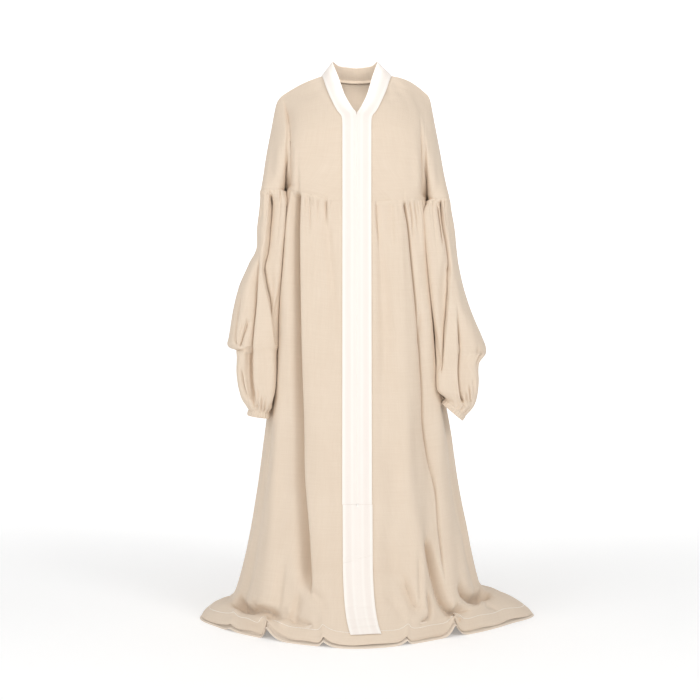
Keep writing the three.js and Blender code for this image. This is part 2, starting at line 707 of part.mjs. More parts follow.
// Casing round the end of the sleeve, drawn in by its elastic.
function cuff(side) {
  const rows = sleeveRows(side);
  const axis = sleeveAxis(side);
  const grid = gridOf(1, 2 * ARM_COLUMNS - 1, (row, column) => {
    const end = sleevePoint(side, -90 + (180 * column) / ARM_COLUMNS, rows.length);
    return end.addScaledVector(axis, SEAM_GAP + row * CUFF_DEPTH);
  });
  const square = { top: axis, bottom: axis };
  const geometry = wall(grid, CUFF_CLOTH, { square, closed: true });
  return piece(`cuff_${named(side)}`, geometry, CLOTH_COLOUR, 0.85);
}

// Point off a surface by a distance, square to it. `pointAt` takes two parameters.
function lifted(pointAt, first, second, distance) {
  const point = pointAt(first, second);
  const along1 = pointAt(first + STEP, second).sub(pointAt(first - STEP, second));
  const along2 = pointAt(first, second + STEP).sub(pointAt(first, second - STEP));
  const normal = along1.cross(along2).normalize();
  return point.addScaledVector(normal, distance);
}

// Yoke's surface off the shoulder seam, at a distance from the centre and a height.
function yokeSurface(side, face, out, height) {
  const front = face === "front";
  const top = front ? SHOULDER_HEIGHT : shoulderHeight(side, out, face);
  const topDepth = front ? 0 : necklineDepth(out);
  const depth = yokeDepth(side, face, out, height, top - height, null, topDepth);
  return new THREE.Vector3(side * out, front ? -depth : depth, height);
}

// Direction square to the yoke, out of the body.
function yokeNormal(side, face, out, height) {
  const here = yokeSurface(side, face, out, height);
  const nearer = yokeSurface(side, face, out - 1, height).sub(here);
  const lower = yokeSurface(side, face, out, height - 1).sub(here);
  const normal = nearer.cross(lower).normalize();
  const outward = face === "front" ? normal.y < 0 : normal.y > 0;
  return outward ? normal : normal.negate();
}

// Outer edge of the neck band, lifted off the yoke. Part runs from the centre back at 0 over
// the shoulder seam at 1 to the foot of the neckline at 2.
function neckEdge(side, part) {
  const round = Math.sin((Math.min(part, 1) * Math.PI) / 2);
  const backOut = Math.min(NECK_HALF_WIDTH * round, NECK_HALF_WIDTH - 1);
  const backHeight = mix(NECK_BACK_HEIGHT, SHOULDER_HEIGHT, round * round);
  const height = mix(SHOULDER_HEIGHT, NECKLINE_FOOT, Math.max(part - 1, 0));
  const frontOut = necklineOut(height);
  const onFront = yokeSurface(side, "front", frontOut, height);
  const point = part >= 1 ? onFront : yokeSurface(side, "back", backOut, backHeight);
  const backNormal = yokeNormal(side, "back", Math.min(backOut, NECK_HALF_WIDTH - 4), backHeight);
  const frontNormal = yokeNormal(side, "front", frontOut, Math.min(height, SHOULDER_HEIGHT - 4));
  const turn = smooth((part - 0.75) / 0.5);
  const normal = backNormal.lerp(frontNormal, turn).normalize();
  return point.addScaledVector(normal, BAND_LIFT);
}

// Point of the neck band: part as above, across from the outer edge at 0 to the free edge.
function collarPoint(side, part, across) {
  const out = Math.max(along(COLLAR_EDGE, "part", part, "out"), SEAM_GAP / 2);
  const free = new THREE.Vector3(
    side * out + COLLAR_SHIFT * Math.sin((out / NECK_HALF_WIDTH) * Math.PI / 2),
    along(COLLAR_EDGE, "part", part, "back"),
    along(COLLAR_EDGE, "part", part, "height"),
  );
  const point = neckEdge(side, part).lerp(free, across);
  if (part === 0) point.x = (side * SEAM_GAP) / 2;
  return point;
}

// Point of the front above the yoke seam, at a distance from the centre, positive to the
// wearer's left.
function yokeFrontPoint(x, height) {
  return yokeSurface(x < 0 ? RIGHT : LEFT, "front", Math.abs(x), height);
}

// Point of the skirt's front at a distance from the centre: fall as for the skirt, and past 1
// the spread on the floor.
function skirtFrontPoint(x, way) {
  const side = x < 0 ? RIGHT : LEFT;
  const fall = Math.min(way, 1);
  const spread = Math.max(way - 1, 0);
  return skirtPoint(directionAt(side, Math.abs(x), fall, spread), fall, spread);
}

function bandWay(height) {
  const seam = seamHeight(0, "front");
  return (seam - height) / (seam - along(FLOOR, "at", 0, "rise"));
}

// Rows of the yoke's mesh as heights of its centre edge.
function yokeRowHeight(row) {
  return mix(SHOULDER_HEIGHT, seamHeight(BAND_HALF_WIDTH, "front"), yokeDown(row));
}

// Stations down the front opening, level with the rows of the yoke and then of the skirt.
function openingStations() {
  const stations = [];
  for (let row = 1; row <= YOKE_ROWS; row += 1) {
    const height = yokeRowHeight(row);
    if (height < NECKLINE_FOOT) stations.push({ height });
  }
  const end = bandWay(OPENING_END);
  for (let row = 1; skirtRow(row)[0] < end; row += 1) stations.push({ way: skirtRow(row)[0] });
  stations.push({ way: end });
  return stations;
}

// Point near the centre of the front at a station, moved off the cloth by a distance.
function openingPoint(x, { height, way }, distance) {
  if (way !== undefined) return lifted(skirtFrontPoint, x, way, -distance);
  const point = yokeFrontPoint(x, height);
  point.y -= distance;
  return point;
}

// Neck band and front band of one side, cut in one strip, down to the foot of the opening.
function band(side) {
  const rows = [];
  for (let row = 0; row <= COLLAR_ROWS; row += 1) rows.push({ part: row / COLLAR_ROWS });
  for (let row = 1; yokeRowHeight(row) > NECKLINE_FOOT; row += 1) {
    const drop = SHOULDER_HEIGHT - yokeRowHeight(row);
    rows.push({ part: 1 + drop / (SHOULDER_HEIGHT - NECKLINE_FOOT) });
  }
  rows.push({ part: 2 }, ...openingStations());
  const grid = gridOf(rows.length - 1, BAND_COLUMNS, (row, column) => {
    const across = column / BAND_COLUMNS;
    const { part, height } = rows[row];
    if (part !== undefined) return collarPoint(side, part, across);
    const edge = height === undefined ? BAND_HALF_WIDTH : necklineOut(height);
    return openingPoint(side * mix(edge, SEAM_GAP, across), rows[row], BAND_LIFT);
  });
  const geometry = wall(grid, BAND_CLOTH, { square: { top: X_AXIS, bottom: Z_AXIS } });
  return piece(`band_${named(side)}`, geometry, IVORY_COLOUR, 0.8);
}

// Inside layer of the collar, from shoulder to shoulder round the back of the neck.
function collarFacing() {
  const inset = BAND_CLOTH / 2 + LAP_SPACE + FACING_CLOTH / 2;
  const surface = (turn, across) => collarPoint(turn < 0 ? RIGHT : LEFT, Math.abs(turn), across);
  const grid = gridOf(2 * COLLAR_ROWS, 1, (row, column) => {
    const turn = row / COLLAR_ROWS - 1;
    const across = mix(COLLAR_FACING_LOW, COLLAR_FACING_HIGH, column);
    return lifted(surface, turn + STEP / 2, across, inset);
  });
  return piece("collar_facing", wall(grid, FACING_CLOTH), CLOTH_COLOUR, 0.9);
}

// Tape of the concealed zip, behind the edges of the front opening.
function zipTape() {
  const inset = CLOTH / 2 + 2 * SEAM_GAP + TAPE_CLOTH / 2;
  const stations = openingStations();
  const grid = gridOf(stations.length - 1, 2, (row, column) =>
    openingPoint((column - 1) * TAPE_HALF_WIDTH, stations[row], -inset),
  );
  return piece("zip_tape", wall(grid, TAPE_CLOTH), IVORY_COLOUR, 0.6);
}

// Point of the closed band below the opening, drifting to one side as it nears its foot.
function closedBandPoint(across, way) {
  const foot = 1 + BAND_FOOT;
  const closed = bandWay(OPENING_END);
  const part = (way - closed) / (foot - closed);
  const x = across * BAND_HALF_WIDTH + BAND_DRIFT * part ** 2;
  return lifted(skirtFrontPoint, x, way, -mix(BAND_LIFT, FOOT_LIFT, smooth(part * 2)));
}

function piecingWay(across) {
  return bandWay(PIECING_HEIGHT + PIECING_SLANT * across);
}

function bandBelowOpening() {
  const start = bandWay(OPENING_END - SEAM_GAP);
  const grid = gridOf(2, 2 * BAND_COLUMNS, (row, column) => {
    const across = column / BAND_COLUMNS - 1;
    return closedBandPoint(across, mix(start, piecingWay(across), row / 2));
  });
  const geometry = wall(grid, BAND_CLOTH, { square: { top: Z_AXIS, bottom: Z_AXIS } });
  return piece("band_below_opening", geometry, IVORY_COLOUR, 0.8);
}

function bandFoot() {
  const rows = 2 * FOOT_ROWS;
  const gap = bandWay(0) - bandWay(SEAM_GAP);
  const grid = gridOf(rows, 2 * BAND_COLUMNS, (row, column) => {
    const across = column / BAND_COLUMNS - 1;
    const onSkirt = mix(piecingWay(across) + gap, 1, row / FOOT_ROWS);
    const onFloor = 1 + (BAND_FOOT * (row - FOOT_ROWS)) / (rows - FOOT_ROWS);
    return closedBandPoint(across, row <= FOOT_ROWS ? onSkirt : onFloor);
  });
  const geometry = wall(grid, BAND_CLOTH, { square: { top: Z_AXIS } });
  return piece("band_foot", geometry, IVORY_COLOUR, 0.8);
}

const dress = new THREE.Group();
for (const side of [RIGHT, LEFT]) {
  dress.add(yokeFront(side), sleeve(side), cuff(side), band(side));
}
dress.add(yokeBack(), ...skirtPieces(), ...hemFacings());
dress.add(collarFacing(), zipTape(), bandBelowOpening(), bandFoot());
dress.position.z = -SHOULDER_HEIGHT;

export default dress;
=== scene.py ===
from collections import namedtuple

import bpy
import numpy as np
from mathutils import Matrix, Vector


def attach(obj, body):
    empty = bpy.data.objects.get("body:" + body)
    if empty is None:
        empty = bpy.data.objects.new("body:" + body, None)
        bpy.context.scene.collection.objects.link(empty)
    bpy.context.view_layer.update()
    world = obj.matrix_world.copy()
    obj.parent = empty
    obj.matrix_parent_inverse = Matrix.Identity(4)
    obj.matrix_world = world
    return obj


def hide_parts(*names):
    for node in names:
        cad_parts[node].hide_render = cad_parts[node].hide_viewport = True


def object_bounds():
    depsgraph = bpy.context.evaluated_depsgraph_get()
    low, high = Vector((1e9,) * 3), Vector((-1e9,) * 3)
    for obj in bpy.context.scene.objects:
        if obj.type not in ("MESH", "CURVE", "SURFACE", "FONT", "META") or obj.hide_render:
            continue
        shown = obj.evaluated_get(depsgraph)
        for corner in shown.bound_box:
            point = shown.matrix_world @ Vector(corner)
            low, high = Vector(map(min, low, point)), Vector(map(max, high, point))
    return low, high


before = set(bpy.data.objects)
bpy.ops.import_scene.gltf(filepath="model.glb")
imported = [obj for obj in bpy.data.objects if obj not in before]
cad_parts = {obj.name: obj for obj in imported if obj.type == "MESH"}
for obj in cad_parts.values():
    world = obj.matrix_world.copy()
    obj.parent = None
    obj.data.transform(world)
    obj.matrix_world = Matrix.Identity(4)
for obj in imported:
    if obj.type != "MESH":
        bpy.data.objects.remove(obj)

cad_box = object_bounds()

# --------------------------------------------------------------------------------------
# Yoke: two fronts and a back with the upper sleeves cut in one, in a plain-woven blend of
# viscose and linen. The shoulder seams are sewn and pressed open, and the cloth falls in a
# soft crease where the arm leaves the body.
# --------------------------------------------------------------------------------------

# Sizes are in millimetres. Heights are measured up from the floor, -x is the wearer's
# right, and the front faces -y.
SHOULDER_HEIGHT = 1396
NECK_HALF_WIDTH = 87
NECK_BACK_DEPTH = 62
NECK_BACK_HEIGHT = 1387
NECK_BACK_LAP = 3
NECK_COLUMNS = 5 / 9
BAND_HALF_WIDTH = 35.5
BAND_LAP = 6
SHOULDER_RISE = {"right": 5, "left": 11}
SHOULDER_ROLL = 150
PINCH_START = 1335
UNDERARM_GAP = 1.2
ARM_DEPTH = 80
OVERARM_OUT = 240
OVAL_CORNER = 3.8
LEAST_DEPTH = 0.35
CLOTH_THICK = 1.2
RIGHT, LEFT = -1, 1


def table(columns, *rows):
    """A short table: one array under each column's name."""
    return dict(zip(columns.split(), np.array(rows, float).T))


OVERARM = table(
    "height right left",
    (1346, 191, 183),
    (1331, 202, 188),
    (1311, 208, 192),
    (1259, 218, 202),
    (1197, 230, 214),
    (1135, 239, 225),
    (1104, 243, 231),
    (1080, 245, 236),
)
ARM_CREASE = table("height right left", (1350, 180, 171), (1255, 175, 171), (1080, 181, 179))
BODY_DEPTH = table(
    "height front back",
    (1396, 100, 86),
    (1290, 106, 92),
    (1200, 110, 93),
    (1080, 106, 88),
)
FRONT_NECKLINE = table(
    "height out",
    (1396, 87),
    (1355, 75),
    (1320, 61),
    (1296, 49),
    (1280, 37.5),
    (1262, 35.5),
)
YOKE_SEAM = table(
    "across front back",
    (-250, 1104, 1104),
    (-182, 1102, 1102),
    (-150, 1096, 1096),
    (-120, 1089, 1091),
    (-90, 1080, 1087),
    (-38, 1072, 1081),
    (38, 1071, 1076),
    (100, 1073, 1075),
    (178, 1078, 1078),
    (240, 1083, 1083),
)
SEAM_DEPTH = {"front": 106, "back": 88}
BODY_HALF = {"right": 179.8, "left": 177.8}

# A crease follows a path of places across and up. It is `deep` inwards, or stands out where
# that is below nought, and reaches `right` and `left` of its path. It appears over the `head`
# of its length and dies out over the `tail`, and is `grow` times as wide at its end. A sharp
# one also has a `slit`, a groove 4 mm wide and that deep.
Crease = namedtuple(
    "Crease", "path deep right left head tail grow slit", defaults=(0.25, 0.25, 1, 0)
)
SLIT_REACH = 1.9

YOKE_FRONT_CREASES = [
    Crease(
        ((-189, 1345), (-181, 1312), (-174, 1260), (-172, 1220), (-172, 1170), (-176, 1100)),
        8, 3.4, 17, 0.3, 0, 1, 5,
    ),
    Crease(((-196, 1240), (-197, 1170), (-202, 1110)), -3, 12, 12, 0.5, 0.2),
    Crease(((-156, 1230), (-157, 1160), (-160, 1100)), -3, 9, 9, 0.5, 0.2),
    Crease(((-205, 1300), (-214, 1190), (-222, 1110)), 3, 10, 14, 0.5, 0.2),
    Crease(((-75, 1372), (-120, 1345), (-168, 1322)), 1.6, 14, 14, 0.3, 0.6),
    Crease(((-66, 1318), (-110, 1300), (-160, 1300)), 1.4, 18, 18, 0.3, 0.6),
    Crease(((-96, 1225), (-110, 1170), (-112, 1120)), 2, 20, 24, 0.5, 0.5),
    Crease(
        ((158, 1300), (162, 1260), (166, 1215), (169, 1170), (172, 1130), (174, 1085)),
        7, 15, 4, 0.45, 0, 1, 5,
    ),
    Crease(((70, 1340), (96, 1352), (126, 1350)), 2.2, 9, 9, 0.3, 0.5),
    Crease(((60, 1318), (90, 1330), (124, 1326)), 1.8, 9, 9, 0.3, 0.5),
    Crease(((84, 1372), (112, 1366), (140, 1350)), 1.8, 8, 8, 0.3, 0.5),
    Crease(((150, 1210), (153, 1150), (156, 1095)), -2.5, 9, 9, 0.5, 0.2),
    Crease(((190, 1220), (193, 1160), (198, 1100)), -2, 10, 10, 0.5, 0.2),
    Crease(((80, 1368), (120, 1340), (158, 1322)), 1.4, 16, 16, 0.3, 0.6),
    Crease(((195, 1290), (203, 1190), (209, 1095)), 3, 10, 12, 0.5, 0.2),
    Crease(((96, 1260), (104, 1190), (104, 1130)), 1.6, 26, 26, 0.5, 0.5),
]
YOKE_BACK_CREASES = [
    Crease(((-180, 1320), (-174, 1240), (-173, 1160), (-177, 1100)), 9, 6, 15, 0.6, 0),
    Crease(((-148, 1230), (-150, 1160), (-150, 1095)), 4, 12, 15, 0.7, 0),
    Crease(((-96, 1250), (-100, 1180), (-98, 1090)), 2.4, 20, 20, 0.6, 0.2),
    Crease(((-60, 1384), (-110, 1362), (-168, 1338)), 1.8, 16, 16, 0.3, 0.6),
    Crease(((20, 1290), (14, 1200), (12, 1085)), 1.8, 24, 24, 0.6, 0.2),
    Crease(((92, 1240), (98, 1170), (96, 1082)), 3, 16, 16, 0.6, 0.1),
    Crease(((168, 1320), (170, 1240), (171, 1160), (173, 1085)), 9, 15, 6, 0.6, 0),
    Crease(((146, 1230), (150, 1150), (150, 1085)), 4, 15, 11, 0.7, 0),
    Crease(((70, 1384), (118, 1358), (160, 1336)), 1.8, 16, 16, 0.3, 0.6),
    Crease(((-204, 1290), (-214, 1190), (-222, 1105)), 4, 12, 12, 0.5, 0.1),
    Crease(((192, 1290), (201, 1190), (208, 1090)), 4, 12, 12, 0.5, 0.1),
]
# The tucks of the gathers at the yoke seam: direction, depth below the seam, the share of it
# at the seam, how far they rise into the yoke, their reach to each side, and their length.
TUCKS = table(
    "at deep seam rise right left long",
    (-175, 4, 0.3, 8, 5, 4, 90),
    (-168, 3, 0.3, 8, 5, 3, 60),
    (-160, 6, 0.4, 30, 4, 7, 160),
    (-153, 3, 0.3, 8, 4, 4, 50),
    (-147, 5, 0.3, 8, 5, 3, 110),
    (-140, 3.5, 0.3, 8, 4, 5, 70),
    (-131, 7, 0.5, 40, 5, 8, 180),
    (-124, 3, 0.3, 8, 4, 3, 60),
    (-117, 4.5, 0.3, 8, 4, 4, 90),
    (-109, 4, 0.3, 8, 5, 5, 120),
    (-101, 4.5, 0.3, 8, 5, 3, 60),
    (-94, 3, 0.3, 8, 4, 4, 50),
    (-80, 3, 0.3, 8, 5, 4, 60),
    (-71, 4, 0.3, 8, 5, 6, 90),
    (-64, 3, 0.3, 8, 5, 4, 60),
    (-54.5, 9, 0.6, 55, 12, 4, 60),
    (-43, 5, 0.35, 8, 4, 8, 110),
    (-37, 2.2, 0.3, 8, 4, 5, 60),
    (-25, 5, 0.4, 8, 6, 2.5, 50),
    (-19, 2, 0.3, 8, 4, 5, 60),
    (15.4, 6, 0.35, 8, 3, 9, 120),
    (24, 3.5, 0.3, 8, 8, 7, 150),
    (29, 2.5, 0.3, 8, 5, 6, 90),
    (36, 2.6, 0.3, 8, 5, 5, 70),
    (41.6, 4, 0.5, 20, 4, 3, 40),
    (47.7, 3.5, 0.3, 8, 4, 6, 80),
    (52, 2.5, 0.3, 8, 4, 4, 50),
    (57, 4, 0.3, 8, 5, 4, 90),
    (63, 2.8, 0.3, 8, 4, 4, 60),
    (69, 4, 0.3, 8, 5, 5, 90),
    (78, 3, 0.3, 8, 5, 4, 60),
    (93, 3, 0.3, 8, 4, 4, 50),
    (100, 4.5, 0.3, 8, 4, 5, 90),
    (107, 3.5, 0.3, 8, 4, 4, 60),
    (115, 7, 0.5, 40, 7, 4, 170),
    (123, 3, 0.3, 8, 4, 5, 50),
    (129, 5, 0.3, 8, 5, 3, 110),
    (137, 3.5, 0.3, 8, 4, 5, 70),
    (144, 6, 0.4, 30, 4, 8, 150),
    (151, 3, 0.3, 8, 4, 4, 60),
    (158, 5, 0.3, 8, 5, 4, 80),
    (166, 4, 0.3, 8, 4, 5, 130),
    (173, 3, 0.3, 8, 5, 4, 50),
)


def mix(start, end, part):
    return start + (end - start) * part


def smooth(part):
    part = np.clip(part, 0, 1)
    return part * part * (3 - 2 * part)


def along(rows, key, at, column):
    """A column's value at a place between its rows, on a smooth curve through them."""
    places, values = rows[key], rows[column]
    if places[0] > places[-1]:
        places, values = places[::-1], values[::-1]
    here = np.arange(len(places))
    before, after = np.maximum(here - 1, 0), np.minimum(here + 1, len(places) - 1)
    slopes = (values[after] - values[before]) / (places[after] - places[before])
    at = np.clip(at, places[0], places[-1])
    row = np.clip(np.searchsorted(places, at, side="right") - 1, 0, len(places) - 2)
    span = places[row + 1] - places[row]
    part = (at - places[row]) / span
    square, cube = part**2, part**3
    return (
        (2 * cube - 3 * square + 1) * values[row]
        + (cube - 2 * square + part) * span * slopes[row]
        + (3 * square - 2 * cube) * values[row + 1]
        + (cube - square) * span * slopes[row + 1]
    )


def named(side):
    return "right" if side == RIGHT else "left"


def seam_height(across, face):
    return along(YOKE_SEAM, "across", across, face)


def shoulder_height(side, out, face):
    """Height of the shoulder seam, or of the back neckline inside it."""
    corner, corner_out = OVERARM["height"][0], OVERARM[named(side)][0]
    reach = np.clip((out - NECK_HALF_WIDTH) / (corner_out - NECK_HALF_WIDTH), 0, 1)
    bump = SHOULDER_RISE[named(side)] * np.sin(np.pi * reach)
    outer = mix(SHOULDER_HEIGHT, corner, reach) + bump
    if face == "front":
        return outer
    inner = mix(NECK_BACK_HEIGHT + NECK_BACK_LAP, SHOULDER_HEIGHT, (out / NECK_HALF_WIDTH) ** 2)
    return np.where(out > NECK_HALF_WIDTH, outer, inner)


def neckline_depth(out):
    return NECK_BACK_DEPTH * np.sqrt(np.clip(1 - (out / NECK_HALF_WIDTH) ** 2, 0, 1))


def oval(across, corner=OVAL_CORNER):
    """Depth of a rounded section at a share of its half width. 2 makes it an ellipse, and
    more makes it squarer."""
    return np.clip(1 - np.abs(across) ** corner, 0, 1) ** (1 / corner)


def yoke_depth(side, face, out, height, drop, round_arm, top_depth):
    """Depth of the yoke before or behind the shoulder seams. Lower down, a crease parts the
    oval of the arm from the oval of the body. `round_arm` runs over the arm from 0 to 1."""
    ridge = along(OVERARM, "height", height, named(side))
    crease = along(ARM_CREASE, "height", height, named(side)) - UNDERARM_GAP
    body = along(BODY_DEPTH, "height", height, face)
    whole = body * np.sqrt(np.clip(1 - (out / ridge) ** 3, 0, 1))
    if round_arm is None:
        parted = SEAM_DEPTH[face] * oval(out / crease)
    else:
        parted = ARM_DEPTH * oval(2 * round_arm - 1)
    seam = seam_height(side * out, face)
    pinch = np.clip((PINCH_START - height) / (PINCH_START - seam), 0, 1) ** 4
    roll = np.sin(np.pi / 2 * np.clip(drop / SHOULDER_ROLL, 0, 1) ** 0.9)
    return mix(top_depth, mix(whole, parted, pinch), roll)


def seam_arm(side):
    """The sleeve's oval at the yoke seam: its inner and outer ends, from the centre."""
    height = seam_height(side * OVERARM_OUT, "front")
    inner = along(ARM_CREASE, "height", height, named(side)) + UNDERARM_GAP
    return inner, along(OVERARM, "height", height, named(side))


def yoke_columns(side, face, body, arm, down):
    """Points down the yoke. Columns of the body are placed by `body`, from the centre at 0 to
    the underarm at 1, and those of the upper sleeve by `arm`, from there to the overarm."""
    front = face == "front"
    inner, outer = seam_arm(side)
    top_crease = ARM_CREASE[named(side)][0] - UNDERARM_GAP
    # Columns bunch towards the crease near the seam, where the cloth turns into it, and stand
    # evenly above.
    bunched = smooth((down - 0.55) / 0.45)
    step = None
    if arm is None:
        first_bottom = BAND_HALF_WIDTH - BAND_LAP if front else 0
        first_top = NECK_HALF_WIDTH - BAND_LAP if front else 0
        half = BODY_HALF[named(side)]
        part = mix(body, np.sin(np.pi / 2 * body), bunched)
        bottom_out = mix(first_bottom, half, part)
        top_out = mix(first_top, top_crease, part)
        if not front:
            neck = np.sin(np.pi / 2 * NECK_COLUMNS)
            inside = NECK_HALF_WIDTH * np.sin(np.pi / 2 * np.clip(part / neck, 0, 1))
            outside = mix(NECK_HALF_WIDTH, top_crease, (part - neck) / (1 - neck))
            top_out = np.where(part < neck, inside, outside)
    else:
        step = mix(arm, (1 - np.cos(np.pi * arm)) / 2, bunched)
        bottom_out = mix(inner, outer, step)
        top_out = mix(top_crease + 2 * UNDERARM_GAP, OVERARM[named(side)][0], step)
    bottom = seam_height(side * bottom_out, face)
    top = shoulder_height(side, top_out, face)
    height = mix(top, bottom, down)
    crease = along(ARM_CREASE, "height", height, named(side)) - UNDERARM_GAP
    if arm is not None:
        ridge_height = mix(OVERARM["height"][0], seam_height(side * outer, face), down)
        ridge = along(OVERARM, "height", ridge_height, named(side))
        out = mix(crease + 2 * UNDERARM_GAP, ridge, step)
    elif front:
        first_foot = seam_height(side * BAND_HALF_WIDTH, face)
        first_height = mix(SHOULDER_HEIGHT, first_foot, down)
        first = along(FRONT_NECKLINE, "height", first_height, "out") - BAND_LAP
        out = mix(first, crease, part)
    else:
        out = mix(top_out, bottom_out, smooth(down * 2))
    inside_neck = not front and arm is None
    top_depth = neckline_depth(top_out) if inside_neck else 0
    depth = yoke_depth(side, face, out, height, top - height, step, top_depth)
    if arm is not None:
        depth = np.where(arm == 1, 0, depth)
    depth = np.maximum(depth, LEAST_DEPTH)
    out, depth, height = np.broadcast_arrays(out, depth, height)
    return np.stack([side * out, -depth if front else depth, height], axis=-1)


def normals_of(grid, closed=False):
    """Directions square to a grid of points, away from the middle of the dress."""
    if closed:
        ring = np.concatenate([grid[:, -1:], grid, grid[:, :1]], axis=1)
        across = ring[:, 2:] - ring[:, :-2]
        middle = grid.mean(axis=1, keepdims=True)
    else:
        across = np.gradient(grid, axis=1)
        middle = grid * [0, 0, 1]
    square = np.cross(across, np.gradient(grid, axis=0))
    square /= np.linalg.norm(square, axis=-1, keepdims=True) + 1e-9
    outward = np.sum(square * (grid - middle)) > 0
    return square if outward else -square


def curve_through(path, steps=8):
    """Points on a smooth curve through the places of a crease."""
    path = np.array(path, float)
    stops = np.arange(len(path), dtype=float)
    places = np.linspace(0, len(path) - 1, steps * (len(path) - 1) + 1)
    columns = [along({"at": stops, "v": path[:, k]}, "at", places, "v") for k in range(path.shape[1])]
    return np.stack(columns, axis=-1)


def crease_relief(spots, across, creases, place=None):
    """How far creases press each spot inwards. `place` turns a crease's path into spots."""
    relief = np.zeros(across.shape)
    for crease in creases:
        path = curve_through(crease.path)
        line = path if place is None else place(path)
        lengths = np.linalg.norm(np.diff(line, axis=0), axis=1)
        stops = np.concatenate([[0], np.cumsum(lengths)]) / lengths.sum()
        best = np.full(across.shape, np.inf)
        side = np.zeros(across.shape)
        gone = np.zeros(across.shape)
        for k in range(len(line) - 1):
            step = line[k + 1] - line[k]
            part = np.clip(((spots - line[k]) @ step) / (step @ step), 0, 1)
            off = np.linalg.norm(spots - line[k] - part[..., None] * step, axis=-1)
            nearer = off < best
            best = np.where(nearer, off, best)
            if place is None:
                from_line = spots - line[k]
                aside = from_line[..., 1] * step[0] - from_line[..., 0] * step[1]
            else:
                aside = across - mix(path[k, 0], path[k + 1, 0], part)
            side = np.where(nearer, aside, side)
            gone = np.where(nearer, mix(stops[k], stops[k + 1], part), gone)
        width = np.where(side < 0, crease.right, crease.left) * mix(1, crease.grow, gone)
        start = smooth(gone / crease.head) if crease.head else 1
        end = smooth((1 - gone) / crease.tail) if crease.tail else 1
        ends = start * end
        relief += crease.deep * ends * np.exp(-((best / width) ** 2))
        relief += crease.slit * ends * np.exp(-((best / SLIT_REACH) ** 2))
    return relief


def front_view_relief(grid, normals, creases, facing):
    """Relief of creases placed as seen from the front, facing -1, or from the back, 1."""
    turned = smooth(normals[..., 1] * facing * 6)
    return turned * crease_relief(grid[..., [0, 2]], grid[..., 0], creases)


def unevenness(grid, seed, height):
    """The slight waviness of cloth that hangs: long soft waves, up to about `height` deep."""
    draw = np.random.default_rng(seed)
    waves = np.zeros(grid.shape[:-1])
    for _ in range(9):
        pitch = draw.uniform(30, 170)
        turn = draw.uniform(-0.5, 0.5)
        phase = draw.uniform(0, 2 * np.pi)
        way = np.array([np.cos(turn), np.cos(turn) * 0.8, np.sin(turn) * 0.4])
        waves += np.sqrt(pitch / 110) * np.sin(grid @ way * 2 * np.pi / pitch + phase)
    return waves * height / 2.6


def linear(code):
    """A colour given as sRGB hex, turned to the linear values that shaders take."""
    parts = [int(code[place : place + 2], 16) / 255 for place in (1, 3, 5)]
    return [p / 12.92 if p <= 0.04045 else ((p + 0.055) / 1.055) ** 2.4 for p in parts] + [1]


def node(tree, kind, settings=(), inputs=(), links=()):
    """Adds one node: its settings, the values of its inputs, and what feeds them."""
    made = tree.nodes.new(kind)
    for name, value in dict(settings).items():
        setattr(made, name, value)
    for name, value in dict(inputs).items():
        made.inputs[name].default_value = value
    for name, output in dict(links).items():
        tree.links.new(output, made.inputs[name])
    return made


def new_material(name):
    material = bpy.data.materials.new(name)
    material.use_nodes = True
    material.node_tree.nodes.clear()
    return material, material.node_tree


def finish_material(tree, surface):
    node(tree, "ShaderNodeOutputMaterial", links={"Surface": surface.outputs["BSDF"]})


WEAVE_PITCH = 0.0016
MULTIPLY_ADD = {"operation": "MULTIPLY_ADD"}
COLOUR_MIX = {"data_type": "RGBA", "clamp_factor": True}


